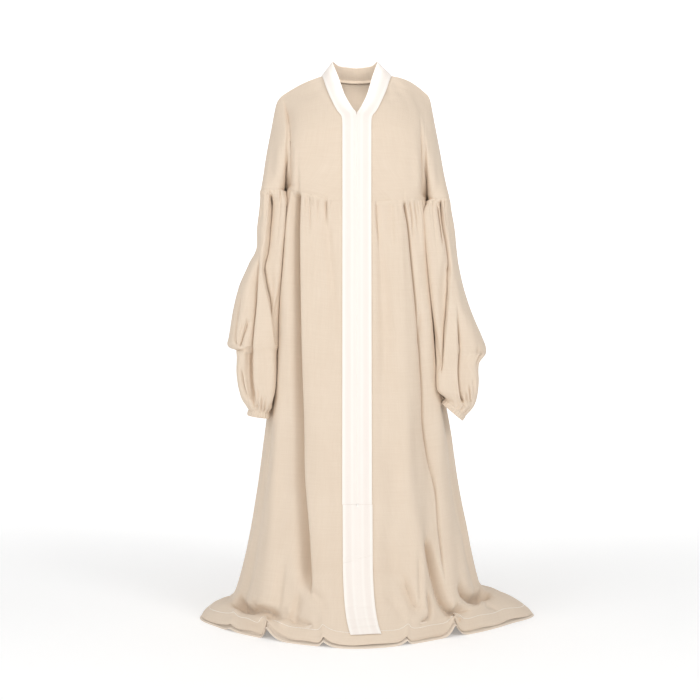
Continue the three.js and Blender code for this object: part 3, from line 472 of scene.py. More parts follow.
def plain_weave(name, light, dark, seed):
    """Plain-woven viscose and linen, washed soft: matt, with fine slubs in both thread
    directions. The real threads are 0.4 mm apart, too fine to show, so the weave is drawn
    at 1.6 mm. The slubs are 3 by 70 mm, which makes 330 and 14 of them to a metre."""
    material, tree = new_material(name)
    cloth = node(tree, "ShaderNodeUVMap", {"uv_map": "cloth"}).outputs["UV"]
    slubs = []
    for turn, scale in enumerate(((330, 14, 1), (14, 330, 1))):
        place = node(
            tree,
            "ShaderNodeMapping",
            inputs={"Location": (seed, turn * 3.1, 0), "Scale": scale},
            links={"Vector": cloth},
        )
        slub = node(
            tree,
            "ShaderNodeTexNoise",
            inputs={"Scale": 1, "Detail": 2, "Roughness": 0.6},
            links={"Vector": place.outputs["Vector"]},
        )
        slubs.append(slub.outputs["Fac"])
    both = node(tree, "ShaderNodeMath", {"operation": "ADD"}, links=dict(enumerate(slubs)))
    tone = node(tree, "ShaderNodeMath", MULTIPLY_ADD, {1: 0.36, 2: -0.11}, {0: both.outputs[0]})
    drift = node(
        tree,
        "ShaderNodeTexNoise",
        inputs={"Scale": 5, "Detail": 3, "Roughness": 0.5},
        links={"Vector": cloth},
    )
    shade = node(
        tree,
        "ShaderNodeMath",
        MULTIPLY_ADD,
        {1: 0.5},
        {0: drift.outputs["Fac"], 2: tone.outputs[0]},
    )
    colour = node(
        tree,
        "ShaderNodeMix",
        COLOUR_MIX,
        {6: linear(dark), 7: linear(light)},
        {0: shade.outputs[0]},
    )
    threads = node(
        tree, "ShaderNodeTexChecker", inputs={"Scale": 1 / WEAVE_PITCH}, links={"Vector": cloth}
    )
    weave = node(
        tree,
        "ShaderNodeMath",
        MULTIPLY_ADD,
        {1: 0.35},
        {0: threads.outputs["Fac"], 2: both.outputs[0]},
    )
    bump = node(
        tree,
        "ShaderNodeBump",
        inputs={"Strength": 0.25, "Distance": 0.0006},
        links={"Height": weave.outputs[0]},
    )
    surface = node(
        tree,
        "ShaderNodeBsdfPrincipled",
        inputs={
            "Roughness": 0.88,
            "IOR": 1.5,
            "Specular IOR Level": 0.25,
            "Sheen Weight": 0.12,
            "Sheen Roughness": 0.5,
        },
        links={"Base Color": colour.outputs[2], "Normal": bump.outputs["Normal"]},
    )
    finish_material(tree, surface)
    return material


beige_cloth = plain_weave("beige_viscose_linen", "#e7d8c6", "#d5c1ab", 0.0)


def add_object(name, data):
    """Puts a mesh, light or camera in the scene."""
    made = bpy.data.objects.new(name, data)
    bpy.context.scene.collection.objects.link(made)
    return made


def smooth_mesh(name, points, faces, material):
    """A smoothly shaded mesh of one material. Its points are in metres."""
    mesh = bpy.data.meshes.new(name)
    mesh.from_pydata(points, [], faces)
    mesh.polygons.foreach_set("use_smooth", np.ones(len(mesh.polygons), bool))
    mesh.materials.append(material)
    return add_object(name, mesh)


def cloth_mesh(name, grid, material, thick=CLOTH_THICK, closed=False):
    """A sheet of cloth over a grid of points. Its UVs are in metres of cloth."""
    rows, columns = grid.shape[:2]
    ring = np.concatenate([grid, grid[:, :1]], axis=1) if closed else grid
    spans = columns if closed else columns - 1
    down = np.linalg.norm(np.diff(grid, axis=0), axis=-1).mean(axis=1)
    across = np.linalg.norm(np.diff(ring, axis=1), axis=-1)
    v = np.concatenate([[0], np.cumsum(down)]) / 1000
    u = np.concatenate([np.zeros((rows, 1)), np.cumsum(across, axis=1)], axis=1) / 1000
    u -= u[:, -1:] / 2
    row, column = np.meshgrid(np.arange(rows - 1), np.arange(spans), indexing="ij")
    after = (column + 1) % columns
    corners = [
        row * columns + column,
        (row + 1) * columns + column,
        (row + 1) * columns + after,
        row * columns + after,
    ]
    faces = np.stack(corners, axis=-1).reshape(-1, 4)
    places = (grid - [0, 0, SHOULDER_HEIGHT]).reshape(-1, 3) / 1000
    sheet = smooth_mesh(name, places.tolist(), faces.tolist(), material)
    mesh = sheet.data
    layer = mesh.uv_layers.new(name="cloth")
    corner_rows = np.stack([row, row + 1, row + 1, row], axis=-1).reshape(-1)
    corner_columns = np.stack([column, column, column + 1, column + 1], axis=-1).reshape(-1)
    uvs = np.stack([u[corner_rows, corner_columns], v[corner_rows]], axis=-1)
    layer.data.foreach_set("uv", uvs.ravel())
    # A cut edge stays crisp, so that its rim doesn't bend the shading of the cloth.
    ends = np.empty(len(mesh.edges) * 2, int)
    mesh.edges.foreach_get("vertices", ends)
    ends = ends.reshape(-1, 2)
    rim = np.all(ends < columns, axis=1) | np.all(ends >= (rows - 1) * columns, axis=1)
    if not closed:
        for column in (0, columns - 1):
            rim |= np.all(ends % columns == column, axis=1)
    mesh.edges.foreach_set("use_edge_sharp", rim)
    wall = sheet.modifiers.new("thickness", "SOLIDIFY")
    wall.thickness = thick / 1000
    wall.offset = 0
    return sheet


def sew_on(sheet, slot, flat, held, nodes, **facts):
    """Puts a finished piece of cloth in the dress, in place of its CAD nodes."""
    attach(sheet, "root")
    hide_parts(*nodes)


def seam_roll(distance, deep=1.3, wide=4.0):
    """How far cloth turns in where it meets a seam."""
    return deep * np.exp(-((distance / wide) ** 2))


def yoke_front_grid(side):
    down = np.linspace(0, 1, 96)[:, None] ** 1.25
    body = np.linspace(0, 1, 84)[None, :]
    arm = np.linspace(0, 1, 40)[None, :]
    chest = yoke_columns(side, "front", body, None, down)
    sleeve = yoke_columns(side, "front", None, arm, down)
    return np.concatenate([chest, sleeve], axis=1)


def yoke_back_grid():
    down = np.linspace(0, 1, 80)[:, None] ** 1.25
    arm = np.linspace(0, 1, 34)[None, :]
    body = np.linspace(0, 1, 70)[None, :]
    back, upper_sleeve = {}, {}
    for side in (RIGHT, LEFT):
        back[side] = yoke_columns(side, "back", body, None, down)
        upper_sleeve[side] = yoke_columns(side, "back", None, arm, down)
    left = [upper_sleeve[LEFT][:, ::-1], back[LEFT][:, ::-1]]
    right = [back[RIGHT][:, 1:], upper_sleeve[RIGHT]]
    return np.concatenate(left + right, axis=1)


def between(direction, other):
    """Difference between two directions, the short way round."""
    return (direction - other + 540) % 360 - 180


SEAM_RADIUS = 150
TUCK_WIDENING = 160
WIDEST_TUCK = 2.2


def tucks_at(direction, below):
    """Depth of the gathers' tucks, by direction and distance below the yoke seam, or above
    it where that is less than nought."""
    relief = 0
    for at, deep, seam, rise, right, left, long in zip(*TUCKS.values()):
        off = np.radians(between(direction, at)) * SEAM_RADIUS
        wide = 1 + np.maximum(below, 0) / TUCK_WIDENING
        off = off / (np.where(off < 0, right, left) * np.minimum(wide, WIDEST_TUCK))
        lower = mix(seam, 1, smooth(below / 16)) * np.exp(-((np.maximum(below, 0) / long) ** 1.3))
        upper = seam * np.exp(-((np.maximum(-below, 0) / rise) ** 1.3))
        relief = relief + deep * np.where(below < 0, upper, lower) * np.exp(-(off**2))
    return relief


LEVEL_REACH = 25


def level_near_seam(square, distance):
    """Turns directions level near a seam, so that the two pieces' edges stay together."""
    level = np.ones_like(distance)
    turned = square * np.stack([level, level, smooth(distance / LEVEL_REACH)], axis=-1)
    return turned / np.linalg.norm(turned, axis=-1, keepdims=True)


def make_yoke(name, grid, creases, facing, seed, node_name, flat, area):
    square = normals_of(grid)
    relief = front_view_relief(grid, square, creases, facing)
    relief += unevenness(grid, seed, 0.7)
    face = "front" if facing < 0 else "back"
    clear = smooth((np.abs(grid[..., 0]) - BAND_HALF_WIDTH) / 30) if facing < 0 else 1
    lined_up = smooth(np.abs(grid[..., 1]) / 12) * clear
    above = grid[..., 2] - seam_height(grid[..., 0], face)
    square = level_near_seam(square, above)
    half = np.where(grid[..., 0] < 0, BODY_HALF["right"], BODY_HALF["left"])
    turned = np.degrees(np.arcsin(np.clip(grid[..., 0] / half, -1, 1)))
    turned = turned if facing < 0 else np.sign(turned) * 180 - turned
    body = smooth((half + 1 - np.abs(grid[..., 0])) / 3)
    relief = relief * smooth(above / 14)
    relief += seam_roll(above) + tucks_at(turned, -above) * body
    relief = relief * lined_up
    grid = grid - square * relief[..., None]
    yoke = cloth_mesh(name, grid, beige_cloth)
    sew_on(yoke, "beige_cloth", flat, "draped", [node_name], area=area)


for side, seed in ((RIGHT, 11), (LEFT, 12)):
    word = named(side)
    make_yoke(
        f"front_yoke_{word}",
        yoke_front_grid(side),
        YOKE_FRONT_CREASES,
        -1,
        seed,
        f"yoke_front_{word}",
        (0.33, 0.36),
        0.095,
    )
make_yoke(
    "back_yoke", yoke_back_grid(), YOKE_BACK_CREASES, 1, 13, "yoke_back", (0.66, 0.36), 0.19
)

# --------------------------------------------------------------------------------------
# Skirt: two fronts and a back of the same cloth, each gathered by hand along its top and
# sewn to the yoke. It hangs in uneven folds and spreads where it meets the floor.
# --------------------------------------------------------------------------------------

SEAM_GAP = 0.3
SKIRT_DROP = 1030
SPREAD_CURVE = 2.15
FLOOR_CREASE_TOP = 330
HEM_EDGE_HEIGHT = 9
UNDER_LAYER_DROP = 6.5
UNDER_LAYER_LAG = 0.25
FAN_POWER = 0.8
# Where the folds sit at the yoke seam, for each direction in degrees at the floor.
FAN = table(
    "at seam",
    (-180, -180),
    (-135, -128),
    (-90, -90),
    (-50, -72),
    (-24, -55),
    (-10, -24),
    (0, 0),
    (12, 20),
    (40, 42),
    (90, 90),
    (135, 128),
    (180, 180),
)
SKIRT = table(
    "fall right left front back",
    (0, 179.8, 177.8, 106, 88),
    (0.06, 184.5, 184, 119, 103),
    (0.14, 189.5, 188, 133, 119),
    (0.24, 197, 197, 149, 136),
    (0.36, 205, 207, 167, 155),
    (0.46, 217, 218, 182, 171),
    (0.6, 237, 243, 204, 196),
    (0.72, 254, 261, 221, 217),
    (0.84, 275, 284, 237, 240),
    (0.94, 300, 306, 249, 262),
    (1, 321, 322, 257, 280),
)
FLOOR = table(
    "at reach rise",
    (-180, 372, 56),
    (-140, 352, 50),
    (-110, 388, 48),
    (-90, 402, 52),
    (-74, 362, 60),
    (-50, 318, 56),
    (-22, 309, 58),
    (0, 320, 66),
    (28, 302, 60),
    (44, 302, 58),
    (61, 334, 66),
    (80, 390, 74),
    (95, 462, 72),
    (118, 412, 60),
    (145, 362, 54),
    (180, 372, 56),
)
# The long folds: direction at the floor, half widths in degrees towards each side, and
# depth inwards below the gathers, halfway down and at the floor.
SKIRT_FOLDS = table(
    "at right left high middle low",
    (-165, 8, 8, 9, 22, 26),
    (-138, 8, 6, 11, 24, 30),
    (-122, 8, 8, -4, -8, -10),
    (-108, 6, 6, 7, 14, 20),
    (-68, 7, 7, 3, 8, 14),
    (-45, 8, 8, -3, -6, -8),
    (-14, 6, 8, -2, -6, -8),
    (28, 7, 7, -3, -6, -8),
    (60, 8, 8, -3, -6, -6),
    (76, 6, 6, 4, 9, 14),
    (106, 6, 6, 8, 16, 22),
    (124, 8, 8, -4, -8, -10),
    (143, 6, 8, 10, 24, 28),
    (168, 7, 7, 8, 18, 24),
)
HEM_PINCHES = table(
    "at right left lift",
    (-150, 5, 2, 30),
    (-118, 3, 5, 20),
    (-66, 2, 4, 8),
    (-44.5, 1.3, 4.4, 38),
    (-15, 1.2, 3.2, 17),
    (23, 2.6, 1.4, 14),
    (50.5, 2.8, 2.2, 40),
    (112, 2.4, 5, 24),
    (138, 4, 2, 16),
    (166, 2, 5, 30),
)
# Where the top layer of the hem stands off the layer under it.
HEM_GAPS = table(
    "at half gap",
    (-160, 9, 6),
    (-132, 8, 4),
    (-100, 6, 5),
    (-69, 5, 5),
    (-54, 6, 6),
    (-37, 5, 7),
    (-24, 6, 4),
    (-9, 6, 2),
    (8, 9, 4),
    (36, 5, 2),
    (64, 7, 4),
    (82, 5, 5),
    (104, 5, 5),
    (128, 8, 4),
    (152, 8, 6),
    (178, 8, 4),
)
# Long folds and soft hollows of the fronts.
SKIRT_FRONT_CREASES = [
    Crease(
        (
            (-146, 1098), (-148, 1010), (-147, 858), (-144, 708), (-140, 526), (-138, 394),
            (-128, 268), (-123, 184), (-115, 100),
        ),
        46, 11, 4, 0.015, 0.08, 1.8, 12,
    ),
    Crease(((-160, 700), (-166, 500), (-160, 300), (-150, 130)), 12, 26, 22, 0.4, 0.2, 1.3),
    Crease(
        (
            (118, 1078), (129, 1010), (139, 909), (149, 808), (158, 708), (163, 633), (170, 524),
            (184, 434), (201, 349), (208, 236), (216, 130),
        ),
        6, 5, 6, 0.02, 0.08, 3, 10,
    ),
    Crease(((160, 620), (166, 520), (178, 420), (192, 330), (198, 200)), 9, 24, 12, 0.3, 0.2, 1.3),
    Crease(((158, 830), (157, 770), (154, 700)), 6, 3, 6, 0.5, 0.4),
    Crease(((-75, 1084), (-75, 1050), (-74, 995)), 3, 6, 3, 0.03, 0.6, 1, 6),
    Crease(((-73, 1050), (-68, 960), (-61, 868), (-46, 740), (-44, 640)), 9, 14, 9, 0.15, 0.6, 1.5),
    Crease(((46.5, 1079), (49, 1020), (52, 985), (57, 930)), 5, 3, 9, 0.02, 0.6, 1, 9),
    Crease(((52, 1000), (60, 900), (68, 808), (70, 656), (72, 520)), 6, 12, 14, 0.2, 0.6, 1.4),
    Crease(((84, 1074), (86, 1010), (90, 930)), 5, 9, 8, 0.1, 0.6),
    Crease(((-118, 1092), (-117, 1040), (-116, 960)), 2, 3, 5, 0.03, 0.7, 1, 4.5),
    Crease(((-126, 1092), (-128, 1050), (-132, 1010)), 2, 3, 4, 0.03, 0.7, 1, 3),
    Crease(((-111, 1089), (-110, 1060), (-109, 1030)), 1, 3, 4, 0.03, 0.7, 1, 3),
    Crease(((-97, 1087), (-97, 1060), (-96, 990)), 2, 4, 4, 0.03, 0.7, 1, 3.5),
    Crease(((-64, 1083), (-64, 1050), (-62, 1040)), 1, 4, 4, 0.03, 0.7, 1, 3),
    Crease(((-104, 1084), (-107, 900), (-110, 640)), 4, 9, 12, 0.1, 0.6),
    Crease(((-88, 1084), (-88, 900), (-86, 600)), 4, 10, 12, 0.1, 0.6),
    Crease(((-50, 1080), (-49, 900), (-48, 760)), 3, 8, 10, 0.1, 0.6),
    Crease(((100, 1076), (105, 900), (110, 700), (112, 560)), 4, 12, 10, 0.1, 0.6),
    Crease(((114, 1076), (122, 940), (130, 800)), 3, 7, 9, 0.1, 0.6),
    Crease(((132, 1079), (138, 1040), (144, 950)), 2, 3, 5, 0.03, 0.7, 1, 4.5),
    Crease(((144, 1079), (150, 1030), (155, 980)), 2, 3, 4, 0.03, 0.7, 1, 4),
    Crease(((152, 1079), (157, 1050), (161, 1010)), 2, 3, 3, 0.03, 0.7, 1, 3),
    Crease(((125, 1079), (130, 1060), (134, 1030)), 1, 2.5, 3, 0.03, 0.7, 1, 3),
    Crease(((34, 1078), (36, 1050), (38, 1010)), 2, 3, 4, 0.03, 0.6, 1, 4),
    Crease(((66, 300), (80, 220), (98, 160), (120, 110)), 6, 22, 22, 0.3, 0.3),
    Crease(((118, 330), (124, 240), (128, 160)), 4, 16, 16, 0.4, 0.3),
    Crease(((150, 250), (152, 160), (153, 80)), 6, 6, 6, 0.5, 0.1),
    Crease(((-215, 600), (-232, 430), (-252, 290), (-268, 180)), 7, 22, 14, 0.4, 0.2),
    Crease(((-188, 480), (-192, 330), (-200, 200)), 4, 16, 16, 0.4, 0.3),
    Crease(((-84, 420), (-82, 280), (-88, 150)), 3, 24, 24, 0.4, 0.3),
    Crease(((238, 480), (250, 340), (262, 200)), 5, 20, 16, 0.4, 0.3),
]
# Creases of the cloth that lies on the floor, by direction and by way: 1 is where the
# skirt meets the floor and 2 is the hem.
FLOOR_CREASES = [
    Crease(
        ((-76, 1.0), (-66, 1.18), (-56, 1.1), (-46, 1.05), (-34, 1.12)),
        32, 15, 11, 0.15, 0.2, 1, 5,
    ),
    Crease(((-76, 1.35), (-62, 1.5), (-48, 1.42), (-36, 1.4)), -14, 14, 12, 0.3, 0.3),
    Crease(((-34, 0.86), (-37, 1.0), (-40, 1.2)), 7, 14, 10, 0.4, 0.3),
    Crease(((-29, 0.98), (-33, 1.2), (-35, 1.5), (-34, 1.8)), -8, 14, 12, 0.3, 0.3),
    Crease(((-24, 0.96), (-30, 1.12), (-37, 1.25), (-42, 1.36)), 8, 10, 14, 0.3, 0.3, 1, 2),
    Crease(((-31, 1.1), (-28, 1.28), (-24, 1.45), (-19, 1.66)), 8, 12, 7, 0.3, 0.3, 1, 2),
    Crease(((-20, 1.05), (-14, 1.25), (-10, 1.35)), 6, 12, 12, 0.3, 0.4),
    Crease(((20, 0.9), (23, 1.1), (27, 1.3), (34, 1.38)), 13, 16, 9, 0.4, 0.3, 1, 4),
    Crease(((33, 1.05), (35, 1.25), (34, 1.5), (27, 1.62)), 9, 9, 6, 0.3, 0.3, 1, 4),
    Crease(((12, 1.1), (18, 1.3), (22, 1.62)), 4, 14, 14, 0.3, 0.3),
    Crease(((38, 0.8), (43, 0.98), (52, 1.22), (64, 1.4)), 25, 14, 8, 0.2, 0.3, 1, 6),
    Crease(((46, 0.95), (56, 1.1), (66, 1.3), (76, 1.5)), -5, 14, 14, 0.3, 0.3),
    Crease(((54, 0.93), (68, 1.06), (80, 1.15), (89, 1.05)), 31, 13, 10, 0.2, 0.2, 1, 5),
    Crease(((70, 1.45), (76, 1.62), (79, 1.85)), 4, 8, 8, 0.3, 0.3),
    Crease(((100, 1.0), (114, 1.16), (130, 1.1)), 12, 15, 15, 0.2, 0.2),
    Crease(((136, 0.9), (140, 1.2), (138, 1.6)), 9, 10, 8, 0.3, 0.3),
    Crease(((148, 1.1), (162, 1.2), (174, 1.08)), 11, 14, 14, 0.2, 0.2),
    Crease(((-100, 1.02), (-116, 1.16), (-132, 1.08)), 12, 15, 15, 0.2, 0.2),
    Crease(((-139, 0.9), (-143, 1.2), (-141, 1.6)), 9, 8, 10, 0.3, 0.3),
    Crease(((-150, 1.08), (-164, 1.2), (-177, 1.12)), 11, 14, 14, 0.2, 0.2),
]
# Where the skirt's rows of points lie, from the seam to the floor and on to the hem.
SKIRT_FALLS = np.linspace(0, 1, 92) ** 1.3
SKIRT_SPREADS = np.append(np.linspace(0, 0.94, 38)[1:], [0.955, 0.97, 0.985, 1])


def fold_depth(direction, fall):
    """How far the long folds go in."""
    depth = 0
    for at, right, left, high, middle, low in zip(*SKIRT_FOLDS.values()):
        off = between(direction, at)
        off = off / np.where(off < 0, right, left)
        upper = mix(high, middle, smooth(fall * 2))
        depth = depth + mix(upper, low, smooth(fall * 2 - 1)) * np.exp(-(off**2))
    return depth * smooth(fall / 0.05)


def pinch_lift(direction):
    lift = 0
    for at, right, left, rise in zip(*HEM_PINCHES.values()):
        off = between(direction, at)
        off = np.abs(off) / np.where(off < 0, right, left)
        lift = lift + rise * np.exp(-(off**1.3))
    return lift


def hem_gap(direction):
    gap = 0
    for at, half, rise in zip(*HEM_GAPS.values()):
        gap = gap + rise * np.exp(-((between(direction, at) / half) ** 2))
    return gap


def unrounded_point(direction, fall, spread, under):
    """A point of the skirt as it would be if it broke sharply where it meets the floor."""
    turned = mix(direction, along(FAN, "at", direction, "seam"), (1 - fall) ** FAN_POWER)
    angle = np.radians(turned)
    front = np.abs(direction) <= 90
    depth = fold_depth(direction, fall)
    half = np.where(
        direction < 0, along(SKIRT, "fall", fall, "right"), along(SKIRT, "fall", fall, "left")
    )
    deep = np.where(
        front, along(SKIRT, "fall", fall, "front"), along(SKIRT, "fall", fall, "back")
    )
    x = (half - depth) * np.sin(angle)
    corner = mix(OVAL_CORNER, 2.2, smooth((fall - 0.08) / 0.6))
    y = -(deep - depth) * oval(np.sin(angle), corner) * np.sign(np.cos(angle))
    seam = np.where(front, seam_height(x, "front"), seam_height(x, "back")) - SEAM_GAP
    z = mix(seam, along(FLOOR, "at", direction, "rise"), fall)
    reach = along(FLOOR, "at", direction, "reach")
    ray = np.radians(direction)
    edge = HEM_EDGE_HEIGHT + (-UNDER_LAYER_DROP if under else hem_gap(direction))
    lift = pinch_lift(direction) * (1 - UNDER_LAYER_LAG * under)
    return np.stack(
        [
            mix(x, reach * np.sin(ray), spread),
            mix(y, -reach * np.cos(ray), spread),
            mix(z, edge, spread**SPREAD_CURVE) + lift * spread**1.5,
        ],
        axis=-1,
    )


def skirt_point(direction, fall, spread, under=0):
    """A point of the skirt: direction at the floor, fall from the seam to the floor, and
    spread from there to the hem. `under` is 1 for the layer beneath the hem's edge. The
    break at the floor is rounded, most of all at the centre front."""
    direction, fall, spread = np.broadcast_arrays(
        np.asarray(direction, float), np.asarray(fall, float), np.asarray(spread, float)
    )
    centre = smooth((direction + 31) / 12) * smooth((44 - direction) / 12)
    above, beyond = mix(0.03, 0.11, centre), mix(0.16, 0.8, centre)
    part = np.clip((fall + spread - 1 + above) / (above + beyond), 0, 1)[..., None]
    start = unrounded_point(direction, 1 - above, 0 * spread, under)
    corner = unrounded_point(direction, 1 + 0 * fall, 0 * spread, under)
    end = unrounded_point(direction, 1 + 0 * fall, beyond, under)
    before = unrounded_point(direction, 1 + 0 * fall, beyond * 0.95, under)
    rounded = (
        (1 - part) ** 3 * start
        + 3 * (1 - part) ** 2 * part * mix(start, corner, 0.7)
        + 3 * (1 - part) * part**2 * (end + (before - end) * 7)
        + part**3 * end
    )
    sharp = unrounded_point(direction, fall, spread, under)
    return np.where((part > 0) & (part < 1), rounded, sharp)


def on_floor(path):
    """Places of a crease given by direction and way, as points."""
    way = path[:, 1]
    return skirt_point(path[:, 0], np.clip(way, 0, 1), np.clip(way - 1, 0, 1))


def skirt_grid(directions, spreads):
    ways = [(fall, 0) for fall in SKIRT_FALLS] + [(1, spread) for spread in spreads]
    fall, spread = np.array(ways).T[:, :, None]
    return skirt_point(directions[None, :], fall, spread), fall, spread


# The front band hangs nearly straight, then swings to the wearer's left towards its foot.
BAND_LEAN = 1.5
BAND_SWING = 19
BAND_SWING_START = 0.737
BAND_SWING_LENGTH = 1.063


def band_drift(way):
    """How far the front band lies towards the wearer's left."""
    swing = np.clip((way - BAND_SWING_START) / BAND_SWING_LENGTH, 0, 1)
    return BAND_LEAN * np.clip(way, 0, 1) + BAND_SWING * swing**2


def drape_skirt(directions, seed, spreads):
    """The skirt's points, with its tucks, creases and waviness pressed in."""
    grid, fall, spread = skirt_grid(directions, spreads)
    square = level_near_seam(normals_of(grid), fall * SKIRT_DROP + 0 * grid[..., 0])
    spots_direction = np.broadcast_to(directions[None, :], grid.shape[:2])
    low = grid[:, 0, 2] < FLOOR_CREASE_TOP
    below_seam = fall * SKIRT_DROP
    seam = along(FAN, "at", directions, "seam")[None, :]
    relief = tucks_at(seam, below_seam)
    if np.abs(directions).max() <= 90:
        creases = front_view_relief(grid, square, SKIRT_FRONT_CREASES, -1)
        relief = relief + creases * smooth(fall / 0.012)
    # The panels' edges stay together along the side seams.
    off_seam = smooth(np.abs(np.abs(spots_direction) - 90) / 9)
    waves = unevenness(grid, seed, 2.4) * smooth(fall / 0.1) * (1 - smooth(spread * 1.4))
    relief = relief + waves * off_seam
    relief[low] += crease_relief(grid[low], spots_direction[low], FLOOR_CREASES, on_floor)
    relief *= 1 - smooth((spread - 0.7) / 0.3)
    clear = smooth((np.abs(grid[..., 0] - band_drift(fall + spread)) - BAND_HALF_WIDTH) / 26)
    clear = np.where(np.abs(spots_direction) < 60, clear, 1)
    relief = (relief + seam_roll(below_seam)) * clear
    # The hem's folded edge turns under.
    turned = smooth((spread - 0.94) / 0.06)[..., None]
    ray = np.radians(spots_direction)
    under = np.stack([np.sin(ray) * -1.8, np.cos(ray) * 1.8, np.full(ray.shape, -0.8)], axis=-1)
    return grid - square * relief[..., None] + turned * under


def even_directions(start, end, count):
    """Directions that stand as evenly as can be both at the seam and at the floor."""
    fine = np.linspace(start, end, 2000)
    turned = (fine + 180) % 360 - 180
    seam = np.unwrap(along(FAN, "at", turned, "seam"), period=360)
    shared = 0.65 * seam + 0.35 * fine
    return np.interp(np.linspace(shared[0], shared[-1], count), shared, fine)


hung = []
for side, seed in ((RIGHT, 21), (LEFT, 22)):
    directions = side * even_directions(0, 90, 236)
    front = drape_skirt(directions, seed, SKIRT_SPREADS)
    hung.append(front)
    skirt = cloth_mesh(f"skirt_front_panel_{named(side)}", front, beige_cloth)
    sew_on(
        skirt, "beige_cloth", (0.52, 1.18), "gathered", [f"skirt_front_{named(side)}"], area=0.47
    )
directions = even_directions(90, 270, 290)
back = drape_skirt((directions + 180) % 360 - 180, 23, SKIRT_SPREADS[::-2][::-1])
hung.append(back)
skirt = cloth_mesh("skirt_back_panel", back, beige_cloth)
sew_on(skirt, "beige_cloth", (1.2, 1.18), "gathered", ["skirt_back"], area=1.05)

# --------------------------------------------------------------------------------------
# Hem: the cloth's second layer, turned up inside and slipped out a little past the edge,
# held by a line of ivory topstitching.
# --------------------------------------------------------------------------------------

FACING_TOP = 0.55
FACING_SPREADS = np.append(
    np.linspace(FACING_TOP, 0.945, 14), [0.958, 0.967, 0.975, 0.982, 0.99, 1]
)
# How far the layer draws back below the edge above it, and its own edge slips out.
DRAWN_BACK = 3.5
SLIPPED_OUT = 6.5
HEM_LAYER_THICK = 1.6


def facing_grid(directions):
    """The layer under the hem: it draws back below the edge above it, and its own edge
    stands out again."""
    spreads = FACING_SPREADS[:, None]
    grid = skirt_point(directions[None, :], 1, spreads, under=1)
    square = normals_of(grid)
    drawn_back = smooth((spreads - 0.78) / 0.14) * DRAWN_BACK
    slip = smooth((spreads - 0.955) / 0.03) * SLIPPED_OUT - drawn_back
    outward = grid * [1, 1, 0]
    outward /= np.linalg.norm(outward, axis=-1, keepdims=True)
    below = 2.6 * (1 - smooth((spreads - 0.8) / 0.2))
    return grid - square * below[..., None] + outward * slip[..., None]


# The layer under the hem is the skirt's own cloth. It is drawn in lighter colours than the skirt so
# that its slipped-out edge reads as a lit strip: painted light.
hem_cloth_painted_lighter = plain_weave("beige_hem_layer_painted_lighter", "#ecdfd0", "#dccab6", 4.0)
for name, directions, nodes, flat in (
    ("hem_layer_front_right", np.linspace(0, -90, 130), ["hem_facing_front_right"], 0.56),
    ("hem_layer_front_left", np.linspace(0, 90, 130), ["hem_facing_front_left"], 0.58),
    ("hem_layer_back", np.linspace(90, 270, 220), ["hem_facing_back"], 1.3),
):
    turned = np.where(directions > 180, directions - 360, directions)
    layer = cloth_mesh(name, facing_grid(turned), hem_cloth_painted_lighter, HEM_LAYER_THICK)
    sew_on(layer, "hem_facing", (flat, 0.06), "folded", nodes)

# --------------------------------------------------------------------------------------
# Topstitching: one line of ivory thread through both layers, about 30 mm above the hem's
# edge, in stitches of 3.2 mm with 0.8 mm between them. The thread is 0.5 mm thick, drawn at
# 1.1 mm so that it shows.
# --------------------------------------------------------------------------------------

STITCH_LONG = 3.2
STITCH_PITCH = 4.0
STITCH_UP = 31
STITCH_STRAY = 0.12
THREAD = 1.1
# Places along a stitch, with their share of its width and height.
STITCH_SHAPE = ((0, 0.25, 0), (0.12, 0.8, 0.7), (0.5, 1, 1), (0.88, 0.8, 0.7), (1, 0.25, 0))


def thread_stitches(name, starts, ends, squares, material, thread=THREAD, high=0.35):
    """Short stitches of thread in one mesh: each dips into the cloth at both ends."""
    points, faces = [], []
    for start, end, square in zip(starts, ends, squares):
        line = end - start
        aside = np.cross(line, square)
        aside /= np.linalg.norm(aside)
        first = len(points)
        for place, wide, rise in STITCH_SHAPE:
            middle = start + line * place + square * (high * rise)
            for turn in range(6):
                angle = np.pi * turn / 3
                reach = thread / 2 * wide
                points.append(middle + reach * (aside * np.cos(angle) + square * np.sin(angle)))
        for ring in range(first, first + 24, 6):
            for turn in range(6):
                after = (turn + 1) % 6
                faces.append((ring + turn, ring + after, ring + 6 + after, ring + 6 + turn))
        faces.append(tuple(first + turn for turn in range(5, -1, -1)))
        faces.append(tuple(first + 24 + turn for turn in range(6)))
    places = (np.array(points) - [0, 0, SHOULDER_HEIGHT]) / 1000
    return smooth_mesh(name, places.tolist(), faces, material)


def sewing_thread(name, light, dark):
    """Spun polyester thread: slightly shiny, with the two-ply twist showing as fine bands."""
    material, tree = new_material(name)
    place = node(tree, "ShaderNodeTexCoord").outputs["Object"]
    ply = node(
        tree, "ShaderNodeTexNoise", inputs={"Scale": 2500, "Detail": 1}, links={"Vector": place}
    )
    colour = node(
        tree,
        "ShaderNodeMix",
        COLOUR_MIX,
        {6: linear(dark), 7: linear(light)},
        {0: ply.outputs["Fac"]},
    )
    surface = node(
        tree,
        "ShaderNodeBsdfPrincipled",
        inputs={"Roughness": 0.45, "IOR": 1.5, "Specular IOR Level": 0.4},
        links={"Base Color": colour.outputs[2]},
    )
    finish_material(tree, surface)
    return material


def stitch_line(grid, up):
    """The line at a distance up from the hem's edge, with the directions square to it."""
    square = normals_of(grid)
    line, squares = [], []
    for column in range(grid.shape[1]):
        rise = np.linalg.norm(np.diff(grid[::-1, column], axis=0), axis=-1)
        stops = np.concatenate([[0], np.cumsum(rise)])
        line.append([np.interp(up, stops, grid[::-1, column, axis]) for axis in range(3)])
        squares.append([np.interp(up, stops, square[::-1, column, axis]) for axis in range(3)])
    return np.array(line), np.array(squares)


def places_on(track, stops, distance):
    """Points of a track at distances along it."""
    return np.stack([np.interp(distance, stops, track[:, k]) for k in range(3)], axis=-1)


